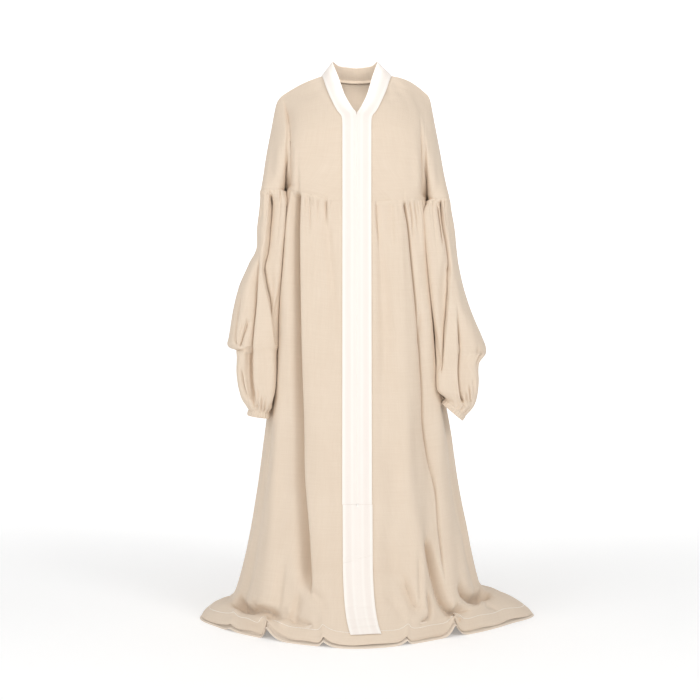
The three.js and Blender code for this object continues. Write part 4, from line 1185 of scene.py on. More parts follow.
ivory_thread = sewing_thread("ivory_sewing_thread", "#ffffff", "#fbf6ec")
for name, panel in zip(("right_front", "left_front", "back"), hung):
    line, squares = stitch_line(panel, STITCH_UP)
    stops = np.concatenate([[0], np.cumsum(np.linalg.norm(np.diff(line, axis=0), axis=-1))])
    draw = np.random.default_rng(len(line))
    places = np.arange(2, stops[-1] - STITCH_PITCH, STITCH_PITCH)
    places = places + draw.uniform(-STITCH_STRAY, STITCH_STRAY, len(places))
    lifted = line + squares * (CLOTH_THICK / 2)
    stitches = thread_stitches(
        f"hem_topstitch_{name}",
        places_on(lifted, stops, places),
        places_on(lifted, stops, places + STITCH_LONG),
        places_on(squares, stops, places + STITCH_LONG / 2),
        ivory_thread,
    )
    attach(stitches, "root")

# --------------------------------------------------------------------------------------
# Sleeves: each lower sleeve is a tube of the same cloth, gathered to the upper sleeve and
# again to the cuff. It bags out over the forearm and folds where it turns back.
# --------------------------------------------------------------------------------------

RIGHT_SLEEVE = table(
    "height out depth wide deep lean",
    (1103, 214, 0, 31, 80, 0),
    (1073, 216, 0, 31, 86, 0),
    (1011, 222, -3, 33, 92, 0),
    (955, 225.5, -8, 31, 95, 0),
    (915, 236, -13, 39, 97, 0),
    (856, 251, -22, 50, 96, 0),
    (795, 260, -31, 55, 91, 0),
    (735, 265, -41, 59, 86, 0),
    (710, 266, -45, 60, 84, 0),
    (694, 256, -48, 46, 80, 0),
    (642, 255, -60, 46, 73, 0),
    (585, 252, -76, 40, 64, -2),
    (560, 246, -84, 34, 49, -5),
    (546, 245, -88, 26, 34, -8),
)
LEFT_SLEEVE = table(
    "height out depth wide deep lean",
    (1081, 209, 0, 27, 80, 0),
    (1050, 209.5, 0, 31.5, 86, 0),
    (1005, 215, -3, 34, 92, 0),
    (949, 220, -9, 34, 95, 0),
    (905, 225, -14, 35, 97, 0),
    (856, 233, -22, 39, 96, 0),
    (795, 245, -31, 46, 92, 0),
    (735, 260, -42, 56, 87, 0),
    (699, 266, -50, 61, 84, 2),
    (668, 258, -56, 50, 79, 3),
    (624, 257, -67, 50, 72, 4),
    (595, 256, -77, 48, 66, 8),
    (575, 254, -87, 43, 52, 22),
    (556, 246, -95, 33, 35, 40),
)
# The broad folds round the section: the front is at 0 and outward at 90.
SLEEVE_FOLDS = table(
    "at half high low",
    (-55, 20, -12, -9),
    (12, 15, 2, 6),
    (62, 18, -2, -3),
    (88, 40, 3, 3),
    (110, 14, 4, 7),
    (152, 14, 5, 7),
)
SLEEVE_FRONT_CREASES = {
    "right": [
        Crease(
            (
                (-214, 1094), (-217, 1078), (-219, 1040), (-224, 985), (-230, 940), (-231, 905),
                (-223, 860), (-212, 811), (-203, 758), (-197, 705),
            ),
            13, 3, 22, 0.06, 0.1, 1, 12,
        ),
        Crease(
            ((-213, 1094), (-217, 1078), (-219, 1040), (-224, 985), (-229, 940), (-230, 905)),
            9, 2.4, 9, 0.06, 0.2, 1, 8,
        ),
        Crease(((-206, 1094), (-204, 1040), (-208, 960)), -2, 6, 6, 0.2, 0.5),
        Crease(
            (
                (-244, 955), (-247, 905), (-250, 860), (-252, 810), (-257, 760), (-262, 700),
                (-262, 640), (-258, 590), (-256, 554),
            ),
            13, 12, 3, 0.25, 0.1, 1.2, 9,
        ),
        Crease(((-270, 782), (-279, 752), (-288, 722), (-293, 706)), 7, 3, 8, 0.3, 0.1, 1, 6),
        Crease(((-282, 772), (-290, 740), (-297, 712)), 5, 3, 4, 0.3, 0.1),
        Crease(((-289, 850), (-297, 796), (-303, 740), (-300, 708)), 5, 6, 3, 0.3, 0.1, 1, 5),
        Crease(((-290, 664), (-282, 616), (-271, 570)), 6, 3, 7, 0.3, 0.2, 1, 5),
        Crease(((-284, 690), (-278, 650), (-272, 610)), 3, 7, 7, 0.4, 0.4),
        Crease(((-232, 690), (-229, 640), (-226, 600)), 3, 12, 12, 0.4, 0.4),
        Crease(((-240, 1094), (-239, 1050), (-238, 1000)), 3, 4, 4, 0.05, 0.6),
        Crease(((-226, 1094), (-228, 1060), (-232, 1010)), 3, 4, 5, 0.05, 0.6),
        Crease(((-243, 620), (-246, 580), (-247, 552)), 5, 3, 4, 0.5, 0.05),
        Crease(((-233, 600), (-236, 570), (-238, 550)), 5, 3, 3, 0.5, 0.05),
        Crease(((-222, 590), (-227, 565), (-230, 548)), 4, 3, 3, 0.5, 0.05),
        Crease(((-255, 610), (-252, 575), (-250, 552)), 4, 3, 4, 0.5, 0.05),
        Crease(((-263, 600), (-259, 575), (-255, 553)), 4, 3, 3, 0.5, 0.05),
        Crease(((-212, 930), (-206, 840), (-201, 760)), 3, 8, 8, 0.4, 0.4),
    ],
    "left": [
        Crease(
            ((209, 1076), (214, 1048), (221, 1005), (229, 960), (233, 925), (233, 908)),
            9, 12, 3, 0.05, 0.22, 1, 8,
        ),
        Crease(
            ((235, 944), (234, 912), (229, 870), (225, 835), (220, 780), (213, 710), (206, 640)),
            12, 18, 3, 0.13, 0.1, 1, 9,
        ),
        Crease(((199, 1072), (206, 1040), (212, 990), (217, 940)), 3, 5, 3, 0.2, 0.5, 1, 6),
        Crease(((222, 1074), (226, 1040), (232, 990)), 4, 4, 5, 0.05, 0.5),
        Crease(((232, 1074), (236, 1050), (239, 1020)), 3, 3, 3, 0.05, 0.5),
        Crease(
            ((251, 820), (253, 760), (254, 700), (253, 640), (258, 592), (264, 562)),
            10, 3, 11, 0.35, 0.05, 1, 9,
        ),
        Crease(((274, 620), (280, 590), (283, 568)), 6, 3, 5, 0.4, 0.05, 1, 3),
        Crease(((266, 600), (272, 578), (276, 562)), 5, 3, 3, 0.4, 0.05),
        Crease(((259, 590), (264, 568), (269, 556)), 4, 3, 3, 0.4, 0.05),
        Crease(((286, 640), (290, 605), (291, 580)), 4, 4, 4, 0.4, 0.05),
        Crease(((238, 640), (244, 600), (250, 560)), 3, 6, 6, 0.4, 0.1),
        Crease(((314, 700), (304, 680), (296, 660)), 6, 4, 4, 0.3, 0.3, 1, 4),
        Crease(((306, 715), (298, 690), (290, 672)), 4, 4, 4, 0.3, 0.4),
        Crease(((266, 900), (272, 830), (278, 770)), 3, 14, 14, 0.4, 0.4),
        Crease(((213, 700), (212, 650), (216, 600)), 3, 8, 10, 0.4, 0.4),
        Crease(((222, 960), (214, 880), (208, 800)), 3, 6, 6, 0.4, 0.4),
    ],
}
SLEEVE_BACK_CREASES = {
    "right": [
        Crease(((-207, 1098), (-212, 1040), (-218, 960)), 7, 8, 8, 0.05, 0.5),
        Crease(((-230, 1098), (-232, 1020), (-240, 930), (-244, 860)), 9, 6, 14, 0.05, 0.3),
        Crease(((-262, 900), (-268, 820), (-266, 740), (-258, 660)), 12, 14, 6, 0.2, 0.2),
        Crease(((-226, 860), (-228, 760), (-236, 660), (-242, 580)), 9, 8, 12, 0.3, 0.1),
        Crease(((-285, 780), (-292, 740), (-290, 705)), 7, 6, 8, 0.3, 0.1),
        Crease(((-248, 640), (-248, 590), (-246, 552)), 6, 5, 5, 0.5, 0.05),
        Crease(((-262, 620), (-258, 585), (-253, 552)), 5, 4, 5, 0.5, 0.05),
    ],
    "left": [
        Crease(((203, 1076), (208, 1020), (214, 950)), 7, 8, 8, 0.05, 0.5),
        Crease(((222, 1076), (227, 1000), (236, 920), (243, 860)), 9, 14, 6, 0.05, 0.3),
        Crease(((252, 880), (262, 800), (266, 720), (262, 640)), 12, 6, 14, 0.2, 0.2),
        Crease(((222, 840), (228, 740), (238, 650), (246, 590)), 9, 12, 8, 0.3, 0.1),
        Crease(((288, 760), (298, 725), (300, 700)), 6, 8, 6, 0.3, 0.1),
        Crease(((262, 640), (262, 600), (258, 572)), 6, 5, 5, 0.5, 0.05),
        Crease(((246, 630), (248, 595), (250, 565)), 5, 4, 5, 0.5, 0.05),
    ],
}
SLEEVE_TUCKS = (-158, -131, -112, -84, -63, -38, -22, 4, 19, 47, 66, 95, 117, 139, 164)


def sleeve_rows(side):
    rows = dict(RIGHT_SLEEVE if side == RIGHT else LEFT_SLEEVE)
    rows["row"] = np.arange(len(rows["height"]), dtype=float)
    return rows


def sleeve_point(side, turn, row):
    """A point of a lower sleeve: turn round the section, and row down its sections."""
    rows = sleeve_rows(side)
    at = {name: along(rows, "row", row, name) for name in rows if name != "row"}
    angle = np.radians(turn)
    last = rows["row"][-1]
    depth = 0
    for place, half, high, low in zip(*SLEEVE_FOLDS.values()):
        off = between(turn, place) / half
        depth = depth + mix(high, low, row / last) * np.exp(-(off**2))
    depth = depth * smooth((last - row) / 2.5) * smooth(row / 1.5)
    reach = (at["wide"] - depth) * np.sin(angle)
    lean = np.radians(at["lean"])
    out = at["out"] + reach * np.cos(lean)
    seam = seam_height(side * out, "front") - SEAM_GAP
    height = at["height"] - reach * np.sin(lean)
    height = height + (seam - rows["height"][0]) * (1 - smooth(row))
    inner, outer = mix(OVAL_CORNER, 3, row / last), mix(OVAL_CORNER, 2.2, smooth(row / 2))
    outer = outer + 2.2 * smooth((700 - at["height"]) / 8) * smooth((at["height"] - 560) / 70)
    corner = np.where(np.sin(angle) < 0, inner, outer)
    y = at["depth"] - (at["deep"] - depth) * oval(np.sin(angle), corner) * np.sign(np.cos(angle))
    return np.stack(np.broadcast_arrays(side * out, y, height), axis=-1)


SKIRT_CLEARANCE = 2.2
# Only the inner wall moves: it starts this far inside the sleeve's middle and is fully laid
# on over the next stretch. Near the cuff it is let go, at a height and over a stretch.
INNER_START, INNER_BLEND = 7, 14
SETTLE_FOOT, SETTLE_BLEND = 552, 80
MOST_IN, MOST_OUT = 7, 30


def nestle(side, grid):
    """Lays the inner wall of a sleeve against the side of the skirt, a little off it."""
    panel = hung[0] if side == RIGHT else hung[1]
    laid = grid.copy()
    for row in range(len(grid)):
        height = grid[row, :, 2].mean()
        near = []
        for skirt in (panel, hung[2]):
            heights = skirt[::-1, :, 2]
            for column in range(skirt.shape[1]):
                line = skirt[::-1, column]
                if line[-1, 0] * side > 60:
                    near.append([np.interp(height, heights[:, column], line[:, k]) for k in (0, 1)])
        near = np.array(near)
        near = near[near[:, 0] * side > 0.7 * (near[:, 0] * side).max()]
        near = near[np.argsort(near[:, 1])]
        wall = side * np.interp(grid[row, :, 1], near[:, 1], near[:, 0] * side)
        out = grid[row, :, 0] * side
        middle = out.mean()
        inner = smooth((middle - INNER_START - out) / INNER_BLEND)
        settle = smooth((grid[0, :, 2].mean() - height) / 5)
        settle *= smooth((height - SETTLE_FOOT) / SETTLE_BLEND)
        reach = (side * wall + SKIRT_CLEARANCE - out) * inner * settle
        laid[row, :, 0] += side * np.clip(reach, -MOST_IN, MOST_OUT)
    return laid


def drape_sleeve(side, seed):
    word = named(side)
    turns = np.linspace(-180, 180, 280, endpoint=False)
    # Columns stand closer together at the front.
    turns = turns - 24 * np.sin(np.radians(turns))
    last = sleeve_rows(side)["row"][-1]
    row = last * np.linspace(0, 1, 124)[:, None] ** 1.12
    grid = nestle(side, sleeve_point(side, turns[None, :], row))
    top, bottom = grid[0, :, 2].mean(), grid[-1, :, 2].mean()
    below, above = top - grid[..., 2], grid[..., 2] - bottom
    normals = normals_of(grid, closed=True)
    square = level_near_seam(normals, np.maximum(grid[0, :, 2] - grid[..., 2], 0))
    relief = front_view_relief(grid, square, SLEEVE_FRONT_CREASES[word], -1)
    relief += front_view_relief(grid, square, SLEEVE_BACK_CREASES[word], 1)
    relief *= smooth(below / 7)
    relief += unevenness(grid, seed, 1.4) * smooth(below / 60)
    draw = np.random.default_rng(seed)
    for at in SLEEVE_TUCKS:
        off = between(turns, at + draw.uniform(-6, 6))
        near_seam = np.exp(-(below / draw.uniform(35, 80)))
        near_cuff = np.exp(-(above / draw.uniform(16, 34)))
        near_seam = near_seam * smooth(below / 8)
        relief += draw.uniform(3, 5.5) * near_seam * np.exp(-((off / 4) ** 2))
        relief += draw.uniform(3, 5) * near_cuff * np.exp(-((off / 5) ** 2))
    relief *= smooth((last - row) / 0.25)
    relief += seam_roll(below)
    return grid - square * relief[..., None]


for side, seed in ((RIGHT, 31), (LEFT, 32)):
    word = named(side)
    sleeve = cloth_mesh(f"lower_sleeve_{word}", drape_sleeve(side, seed), beige_cloth, closed=True)
    sew_on(sleeve, "beige_cloth", (0.48, 0.58), "gathered", [f"sleeve_{word}"])

# --------------------------------------------------------------------------------------
# Cuffs: a narrow casing of the same cloth round the end of each sleeve, puckered all round
# by the elastic inside it.
# --------------------------------------------------------------------------------------

CUFF_DEPTH = 13
CUFF_THICK = 1.6
CUFF_PUCKERS = 23

for side in (RIGHT, LEFT):
    word = named(side)
    rows = sleeve_rows(side)
    lean = np.radians(rows["lean"][-1])
    axis = np.array([-side * np.sin(lean), 0, -np.cos(lean)])
    turns = np.linspace(-180, 180, 240, endpoint=False)
    end = sleeve_point(side, turns, rows["row"][-1])
    middle = end.mean(axis=0)
    steps = np.linspace(0, 1, 14)[:, None, None]
    ring = end[None] + axis * (SEAM_GAP + steps * CUFF_DEPTH)
    outward = end - middle
    outward /= np.linalg.norm(outward, axis=-1, keepdims=True)
    around = np.radians(turns)
    pucker = np.sin(around * CUFF_PUCKERS + 1.5 * np.sin(around * 3))
    swell = 1.3 * np.sin(np.pi * steps[..., 0]) ** 0.6
    stand = swell + pucker[None, :] * (0.5 + 0.6 * steps[..., 0])
    ring = ring + outward[None] * stand[..., None]
    cuff = cloth_mesh(f"elastic_cuff_{word}", ring, beige_cloth, CUFF_THICK, closed=True)
    sew_on(cuff, "beige_cloth", (0.24, 0.014), "gathered", [f"cuff_{word}"])

# --------------------------------------------------------------------------------------
# Zip tape: the woven tape of a concealed zip, sewn behind the edges of the front opening
# from the foot of the neckline to the tack.
# --------------------------------------------------------------------------------------

NECKLINE_FOOT = 1280
OPENING_END = 331
TAPE_HALF_WIDTH = 14
TAPE_BEHIND = 1.9
TAPE_THICK = 0.8


def yoke_front_surface(x, height):
    """The plain yoke front, without creases, at a distance from the centre."""
    x, height = np.broadcast_arrays(np.asarray(x, float), np.asarray(height, float))
    depth = np.zeros(x.shape)
    for side in (RIGHT, LEFT):
        found = yoke_depth(side, "front", np.abs(x), height, SHOULDER_HEIGHT - height, None, 0)
        depth = np.where(x * side >= 0, found, depth)
    return np.stack([x, -depth, height], axis=-1)


def direction_at(x, fall, spread):
    """Direction at the floor of the skirt point that lies at `x` in front."""
    x, fall, spread = np.broadcast_arrays(x, fall, spread)
    low, high = np.zeros(x.shape), np.full(x.shape, 60.0)
    side = np.where(x < 0, -1.0, 1.0)
    for _ in range(22):
        middle = (low + high) / 2
        short = np.abs(skirt_point(side * middle, fall, spread)[..., 0]) < np.abs(x)
        low, high = np.where(short, middle, low), np.where(short, high, middle)
    return side * low


def skirt_front_surface(x, way):
    x, way = np.broadcast_arrays(np.asarray(x, float), np.asarray(way, float))
    fall, spread = np.minimum(way, 1), np.maximum(way - 1, 0)
    return skirt_point(direction_at(x, fall, spread), fall, spread)


def lift_off(surface, first, second, distance):
    """A point off a surface of two parameters, by a distance square to it."""
    along_first = surface(first + 0.2, second) - surface(first - 0.2, second)
    along_second = surface(first, second + 0.002) - surface(first, second - 0.002)
    square = np.cross(along_first, along_second)
    square /= np.linalg.norm(square, axis=-1, keepdims=True)
    square *= np.where(square[..., 1:2] > 0, -1, 1)
    return surface(first, second) + square * np.asarray(distance)[..., None]


def band_way(height):
    """Way down the skirt's centre front at which a height is reached."""
    seam = seam_height(0, "front")
    return (seam - height) / (seam - along(FLOOR, "at", 0, "rise"))


def opening_grid(x_at, distance):
    """Points along the front opening, from the foot of the neckline down to its own foot.
    `x_at` gives the places across it at each height."""
    seam = seam_height(0, "front")
    heights = np.linspace(NECKLINE_FOOT, seam, 30)[:, None]
    ways = np.linspace(0, band_way(OPENING_END), 110)[1:, None]
    upper = yoke_front_surface(x_at(heights), heights) - [0, distance, 0]
    lower = lift_off(skirt_front_surface, x_at(seam - ways), ways, distance)
    return np.concatenate([upper, lower])


ivory_tape = plain_weave("ivory_polyester_tape", "#f2ece2", "#e6ddd0", 9.0)
tape = opening_grid(lambda height: np.linspace(-1, 1, 7) * TAPE_HALF_WIDTH, -TAPE_BEHIND)
tape = cloth_mesh("zip_tape_woven", tape, ivory_tape, TAPE_THICK)
sew_on(tape, "zip_tape", (0.028, 0.96), "stretched", ["zip_tape"])

# --------------------------------------------------------------------------------------
# Neck and front bands: a strip of ivory satin-weave on each side, doubled and pressed. It
# stands up round the neck and runs down the front, where its free edges meet over the zip.
# --------------------------------------------------------------------------------------

BAND_THICK = 2.0
HALF_OPENING = 0.15
NECKLINE_LOW = 1262
BAND_LIFT = 2.75
FOOT_LIFT = 3.75
COLLAR_LEAN = -5
COLLAR_BOW = 1.6
COLLAR_EDGE = table(
    "part out back height",
    (0, 0, 50, 1425),
    (0.5, 41, 35, 1428),
    (1, 57, 0, 1432),
    (1.35, 42.5, -37, 1386),
    (1.65, 27.5, -66, 1338),
    (1.85, 11.5, -87, 1306),
    (2, 0.3, -98, 1290),
)


# The stripes run outwards from the strip's centre line over this width, in metres.
STRIPES_ACROSS = 0.04


def satin_band(name, light, dark, seed):
    """Ivory satin weave with stripes of its own colour, woven along the strip. Its smooth
    face gives it more gloss than the plain cloth. The real ribs are 0.5 mm apart, drawn
    here at 1.5 mm."""
    material, tree = new_material(name)
    cloth = node(tree, "ShaderNodeUVMap", {"uv_map": "cloth"}).outputs["UV"]
    split = node(tree, "ShaderNodeSeparateXYZ", links={"Vector": cloth})
    off_centre = node(
        tree, "ShaderNodeMath", {"operation": "ABSOLUTE"}, links={0: split.outputs["X"]}
    )
    across = node(
        tree,
        "ShaderNodeMath",
        {"operation": "MULTIPLY"},
        {1: 1 / STRIPES_ACROSS},
        {0: off_centre.outputs[0]},
    )
    stripes = node(tree, "ShaderNodeValToRGB", links={"Fac": across.outputs[0]})
    ramp = stripes.color_ramp
    ramp.interpolation = "EASE"
    tones = ((0, 0.72), (0.16, 0.66), (0.3, 0.9), (0.44, 0.5), (0.58, 0.46), (0.7, 0.62))
    tones += ((0.76, 0.98), (0.95, 1.0))
    for stop, (place, grey) in enumerate(tones):
        point = ramp.elements[stop] if stop < 2 else ramp.elements.new(place)
        point.position, point.color = place, (grey, grey, grey, 1)
    mottle_place = node(
        tree,
        "ShaderNodeMapping",
        inputs={"Location": (seed, 0, 0), "Scale": (130, 9, 1)},
        links={"Vector": cloth},
    )
    mottle = node(
        tree,
        "ShaderNodeTexNoise",
        inputs={"Scale": 1, "Detail": 3},
        links={"Vector": mottle_place.outputs["Vector"]},
    )
    faded = node(
        tree, "ShaderNodeMath", {"operation": "SUBTRACT"}, {1: 0.15}, {0: stripes.outputs["Color"]}
    )
    tone = node(
        tree,
        "ShaderNodeMath",
        MULTIPLY_ADD,
        {1: 0.3},
        {0: mottle.outputs["Fac"], 2: faded.outputs[0]},
    )
    colour = node(
        tree, "ShaderNodeMix", COLOUR_MIX, {6: linear(dark), 7: linear(light)}, {0: tone.outputs[0]}
    )
    rib_place = node(
        tree, "ShaderNodeMapping", inputs={"Scale": (667, 60, 1)}, links={"Vector": cloth}
    )
    ribs = node(
        tree,
        "ShaderNodeTexWave",
        {"wave_type": "BANDS", "bands_direction": "X"},
        {"Scale": 0.31, "Distortion": 0.6, "Detail": 1},
        {"Vector": rib_place.outputs["Vector"]},
    )
    height = node(
        tree,
        "ShaderNodeMath",
        MULTIPLY_ADD,
        {1: 0.5},
        {0: ribs.outputs["Fac"], 2: mottle.outputs["Fac"]},
    )
    bump = node(
        tree,
        "ShaderNodeBump",
        inputs={"Strength": 0.2, "Distance": 0.0005},
        links={"Height": height.outputs[0]},
    )
    surface = node(
        tree,
        "ShaderNodeBsdfPrincipled",
        inputs={
            "Roughness": 0.55,
            "IOR": 1.5,
            "Specular IOR Level": 0.35,
            "Sheen Weight": 0.1,
            "Sheen Roughness": 0.4,
        },
        links={"Base Color": colour.outputs[2], "Normal": bump.outputs["Normal"]},
    )
    finish_material(tree, surface)
    return material


ivory_satin = satin_band("ivory_satin_weave", "#f5efe8", "#e9ded6", 0.0)


def back_surface(out, height):
    """The plain back of the yoke near the neckline."""
    top = shoulder_height(LEFT, out, "back")
    depth = yoke_depth(LEFT, "back", out, height, top - height, None, neckline_depth(out))
    return np.stack(np.broadcast_arrays(out, depth, height), axis=-1)


def square_to(surface, out, height):
    here = surface(out, height)
    square = np.cross(surface(out - 1, height) - here, surface(out, height - 1) - here)
    return square / np.linalg.norm(square, axis=-1, keepdims=True)


def neck_edge(part):
    """Outer edge of the neck band on the left: from the centre back at 0 over the shoulder
    seam at 1 to the foot of the neckline at 2."""
    quarter = np.sin(np.minimum(part, 1) * np.pi / 2)
    back_out = np.minimum(NECK_HALF_WIDTH * quarter, NECK_HALF_WIDTH - 1)
    back_height = mix(NECK_BACK_HEIGHT, SHOULDER_HEIGHT, quarter**2)
    height = mix(SHOULDER_HEIGHT, NECKLINE_FOOT, np.maximum(part - 1, 0))
    front_out = along(FRONT_NECKLINE, "height", height, "out")
    front = yoke_front_surface(front_out, height)
    behind = back_surface(back_out, back_height)
    point = np.where((part >= 1)[..., None], front, behind)
    back_square = square_to(back_surface, np.minimum(back_out, NECK_HALF_WIDTH - 4), back_height)
    front_square = square_to(
        yoke_front_surface, front_out, np.minimum(height, SHOULDER_HEIGHT - 4)
    )
    back_square *= np.where(back_square[..., 1:2] < 0, -1, 1)
    front_square *= np.where(front_square[..., 1:2] > 0, -1, 1)
    square = mix(back_square, front_square, smooth((part - 0.75) / 0.5)[..., None])
    return point + square / np.linalg.norm(square, axis=-1, keepdims=True) * BAND_LIFT


def collar_point(side, part, across):
    """A point of the standing band, from its outer edge at 0 to its free edge at 1."""
    part, across = np.broadcast_arrays(np.asarray(part, float), np.asarray(across, float))
    out = np.maximum(along(COLLAR_EDGE, "part", part, "out"), HALF_OPENING)
    free = [
        out + side * COLLAR_LEAN * np.sin(out / NECK_HALF_WIDTH * np.pi / 2),
        along(COLLAR_EDGE, "part", part, "back"),
        along(COLLAR_EDGE, "part", part, "height"),
    ]
    point = mix(neck_edge(part), np.stack(free, axis=-1), across[..., None])
    # A band bows out a little between its edges, and less where it lies flat in front.
    bow = np.sin(np.pi * across) * COLLAR_BOW * (1 - smooth(part - 1))
    point = point + bow[..., None] * [0.7, 0, -0.7]
    point[..., 0] = np.where(part == 0, 0, point[..., 0])
    return point * [side, 1, 1]


EDGE_PRESS = 0.55
EDGE_PRESS_REACH = 0.7
BAND_ACROSS = np.array(
    [0, 0.012, 0.035, 0.08, 0.16, 0.28, 0.4, 0.52, 0.64, 0.76, 0.86, 0.93, 0.97, 0.992, 1]
)


def pressed_edge(across):
    """Where the doubled band thins to its folded edges, and swells between them."""
    near = np.minimum(across, 1 - across) * BAND_HALF_WIDTH
    return EDGE_PRESS * np.exp(-near / EDGE_PRESS_REACH)


def band_grid(side):
    parts = np.linspace(0, 2, 120)[:-1, None]
    collar = collar_point(side, parts, BAND_ACROSS[None, :])

    def across_front(height):
        edge = along(FRONT_NECKLINE, "height", np.maximum(height, NECKLINE_LOW), "out")
        return side * mix(edge, HALF_OPENING, BAND_ACROSS[None, :])

    front = opening_grid(across_front, BAND_LIFT)
    grid = np.concatenate([collar, front])
    square = normals_of(grid)
    return grid - square * pressed_edge(BAND_ACROSS)[None, :, None]


def stripe_uvs(sheet, across):
    """Sets the strip's UVs so that stripes keep their distance from the centre line."""
    layer = sheet.data.uv_layers["cloth"]
    places = np.empty(len(layer.data) * 2)
    layer.data.foreach_get("uv", places)
    places = places.reshape(-1, 2)
    corners = np.empty(len(sheet.data.loops), int)
    sheet.data.loops.foreach_get("vertex_index", corners)
    places[:, 0] = across[corners % len(across)] / 1000
    layer.data.foreach_set("uv", places.ravel())


for side in (RIGHT, LEFT):
    word = named(side)
    band = cloth_mesh(f"neck_and_front_band_{word}", band_grid(side), ivory_satin, BAND_THICK)
    stripe_uvs(band, side * (1 - BAND_ACROSS) * BAND_HALF_WIDTH)
    sew_on(band, "ivory_band", (0.04, 1.27), "stretched", [f"band_{word}"])

# --------------------------------------------------------------------------------------
# Collar facing: the beige cloth that lines the standing band inside. Its lower edge is
# turned and stitched over the neck seam, which leaves a rounded ridge across the back.
# --------------------------------------------------------------------------------------

LINING_THICK = 1.0
LINING_INSIDE = 2.0
RIDGE_HIGH = 5.2

turns = np.linspace(-1, 1, 121)[:, None]
across = np.linspace(0.03, 0.97, 22)[None, :]
facing = np.where(
    (turns < 0)[..., None],
    collar_point(RIGHT, np.abs(turns), across),
    collar_point(LEFT, np.abs(turns), across),
)
square = normals_of(facing)
inward = np.sign(np.sum(square * (facing * [1, 1, 0]), axis=-1).mean())
ridge = RIDGE_HIGH * np.exp(-(((across - 0.05) / 0.075) ** 2))
facing = facing - inward * square * (LINING_INSIDE + ridge)[..., None]
facing = cloth_mesh("collar_lining", facing.transpose(1, 0, 2), beige_cloth, LINING_THICK)
sew_on(facing, "beige_cloth", (0.24, 0.04), "stretched", ["collar_facing"])

# --------------------------------------------------------------------------------------
# Closed band: below the zip the strip is whole, lies over the closed front seam and runs on
# to the hem. A slanted join near the floor pieces on its last stretch.
# --------------------------------------------------------------------------------------

PIECING_HEIGHT = 201
PIECING_SLANT = 9
PIECING_GAP_WAY = SEAM_GAP / 1000
PIECING_STEP = 0.7
FOOT_RIPPLES = ((0.22, 0.5), (0.47, 0.9), (0.66, 0.8), (0.8, 0.9))
BAND_FOOT = 0.8


def closed_band_point(across, way):
    foot = 1 + BAND_FOOT
    closed = band_way(OPENING_END)
    part = np.clip((way - closed) / (foot - closed), 0, 1)
    x = across * BAND_HALF_WIDTH + band_drift(way)
    lift = mix(BAND_LIFT, FOOT_LIFT, smooth(part * 2))
    return lift_off(skirt_front_surface, x, way, lift)


def piecing_way(across):
    return band_way(PIECING_HEIGHT + PIECING_SLANT * across)


strip = np.concatenate([BAND_ACROSS - 1, (1 - BAND_ACROSS)[::-1][1:]])
piecing = piecing_way(strip)[None, :]
start = band_way(OPENING_END - SEAM_GAP)
edges = np.where(np.abs(strip) < 0.5, 0, pressed_edge(1 - np.abs(strip)))[None, :]
upper_steps = np.linspace(0, 1, 40)[:, None]
lower_steps = np.linspace(0, 1, 90)[:, None]
upper = closed_band_point(strip[None, :], mix(start, piecing, upper_steps))
lower = closed_band_point(
    strip[None, :], mix(piecing + PIECING_GAP_WAY, 1 + BAND_FOOT, lower_steps)
)
# The join shows as a shallow step, and the strip ripples where it reaches the floor.
upper_press = edges + PIECING_STEP * np.exp(-(1 - upper_steps) * 50)
lower_press = edges + PIECING_STEP * np.exp(-lower_steps * 60)
for at, deep in FOOT_RIPPLES:
    lower_press = lower_press + deep * np.exp(-(((lower_steps - at) / 0.025) ** 2))
for name, grid, press, nodes, long in (
    ("closed_front_band", upper, upper_press, ["band_below_opening"], 0.13),
    ("front_band_foot", lower, lower_press, ["band_foot"], 0.2),
):
    grid = grid - normals_of(grid) * press[..., None]
    band = cloth_mesh(name, grid, ivory_satin, BAND_THICK)
    stripe_uvs(band, strip * BAND_HALF_WIDTH)
    sew_on(band, "ivory_band", (0.076, long), "stretched", nodes)

# --------------------------------------------------------------------------------------
# Bar tack: a few close zigzag stitches of ivory thread across the foot of the opening, where
# the zip ends.
# --------------------------------------------------------------------------------------

TACK_ROWS = 9
TACK_PITCH = 0.85
TACK_HALF_WIDTH = 2.6
TACK_THREAD = 0.8
TACK_PROUD = 1.1

tack_centre = closed_band_point(np.array(0.0), np.array(band_way(OPENING_END - 2.5)))
out_of_band = np.array([0, -1, 0])
rows = np.arange(TACK_ROWS)
across = np.where(rows % 2, TACK_HALF_WIDTH, -TACK_HALF_WIDTH)
before = np.full(TACK_ROWS, -TACK_PROUD)
starts = tack_centre + np.stack([across, before, 3.4 - rows * TACK_PITCH], axis=-1)
ends = tack_centre + np.stack([-across, before, 3.0 - rows * TACK_PITCH], axis=-1)
squares = [out_of_band] * TACK_ROWS
tack = thread_stitches("bar_tack", starts, ends, squares, ivory_thread, TACK_THREAD, 0.3)
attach(tack, "root")

# --------------------------------------------------------------------------------------
# Studio: a plain white paper floor that sweeps up behind the dress, a softbox on each side,
# in front and above, and two small lamps that reach into the neckline. The paper glows, and
# more so towards the back, as a lit backdrop does.
# --------------------------------------------------------------------------------------

# The studio's sizes are in metres.
SWEEP_FRONT = -8.0
SWEEP_BACK = 5.0
SWEEP_ROUND = 1.6
SWEEP_HIGH = 6.0
SWEEP_HALF_WIDTH = 9.0

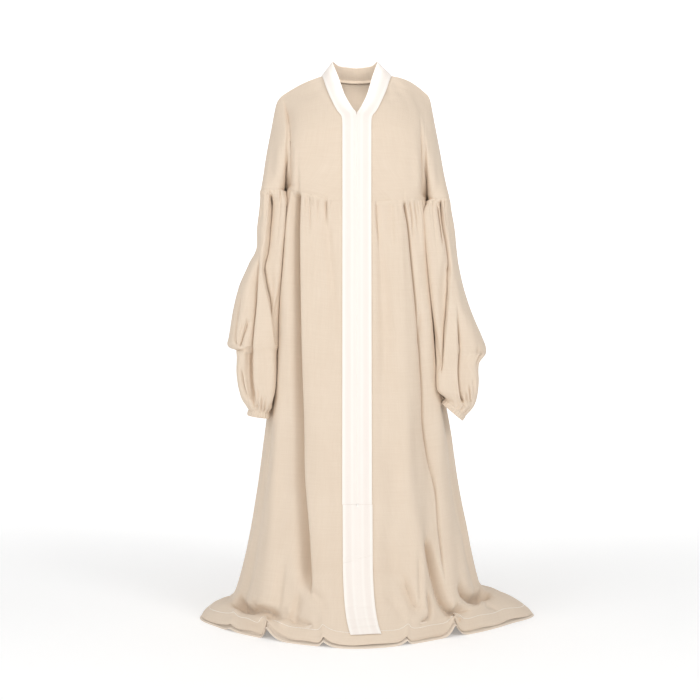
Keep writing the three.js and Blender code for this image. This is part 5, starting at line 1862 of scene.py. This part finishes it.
floor_level = cad_box[0][2]
profile = [(SWEEP_FRONT, 0.0)]
for step in range(25):
    angle = np.pi / 2 * step / 24
    profile.append((SWEEP_BACK + SWEEP_ROUND * np.sin(angle), SWEEP_ROUND * (1 - np.cos(angle))))
profile.append((SWEEP_BACK + SWEEP_ROUND, SWEEP_HIGH))
points = []
for x in (-SWEEP_HALF_WIDTH, SWEEP_HALF_WIDTH):
    points += [(x, y, floor_level + z) for y, z in profile]
count = len(profile)
faces = [(k, k + 1, count + k + 1, count + k) for k in range(count - 1)]
paper, tree = new_material("white_paper_sweep")
place = node(tree, "ShaderNodeTexCoord").outputs["Object"]
back = node(tree, "ShaderNodeSeparateXYZ", links={"Vector": place}).outputs["Y"]
lit = node(
    tree,
    "ShaderNodeMapRange",
    {"interpolation_type": "SMOOTHSTEP"},
    {"From Min": 0.0, "From Max": 2.6, "To Min": 0.42, "To Max": 1.0},
    {"Value": back},
)
surface = node(
    tree,
    "ShaderNodeBsdfPrincipled",
    inputs={"Base Color": linear("#f4f4f4"), "Roughness": 0.9, "Emission Strength": 0.5},
    links={"Emission Color": lit.outputs["Result"]},
)
finish_material(tree, surface)
sweep = smooth_mesh("studio_sweep", points, faces, paper)

world = bpy.data.worlds.new("studio_air")
bpy.context.scene.world = world
world.use_nodes = True
background = next(n for n in world.node_tree.nodes if n.type == "BACKGROUND")
background.inputs["Color"].default_value = (1, 1, 1, 1)
background.inputs["Strength"].default_value = 0.45


def aim_light(name, lamp, place, aim):
    light = add_object(name, lamp)
    light.location = place
    way = Vector(aim) - Vector(place)
    light.rotation_euler = way.to_track_quat("-Z", "Y").to_euler()
    return light


def soft_light(name, place, aim, size, power):
    lamp = bpy.data.lights.new(name, "AREA")
    lamp.shape, lamp.size, lamp.energy = "SQUARE", size, power
    aim_light(name, lamp, place, aim).visible_camera = False


soft_light("key_softbox", (2.4, -3.2, 1.5), (0, 0, -0.6), 1.3, 50)
soft_light("front_softbox", (-0.3, -4.3, 0.3), (0, 0, -0.4), 1.3, 20)
soft_light("fill_softbox", (-2.7, -3.0, 0.7), (0, 0, -0.6), 2.2, 39)
soft_light("top_softbox", (-0.4, -1.6, 2.6), (0, 0, -0.4), 1.8, 15)
soft_light("neckline_lamp", (0, -0.05, 0.05), (0, 0.06, -0.04), 0.05, 0.065)

snoot = bpy.data.lights.new("neckline_snoot", "SPOT")
snoot.energy, snoot.spot_size, snoot.spot_blend = 165, np.radians(2.5), 1.0
snoot.shadow_soft_size = 0.02
aim_light("neckline_snoot", snoot, (0, -2.5, 0.1), (-0.002, 0.05, -0.06))

camera_data = bpy.data.cameras.new("camera")
camera_data.lens = 72.1
camera = add_object("camera", camera_data)
camera.location = (-0.017, -3.6, -0.576)
camera.rotation_euler = (np.radians(90 - 1.96), 0, 0)
bpy.context.scene.camera = camera
bpy.context.scene.view_settings.view_transform = "Standard"
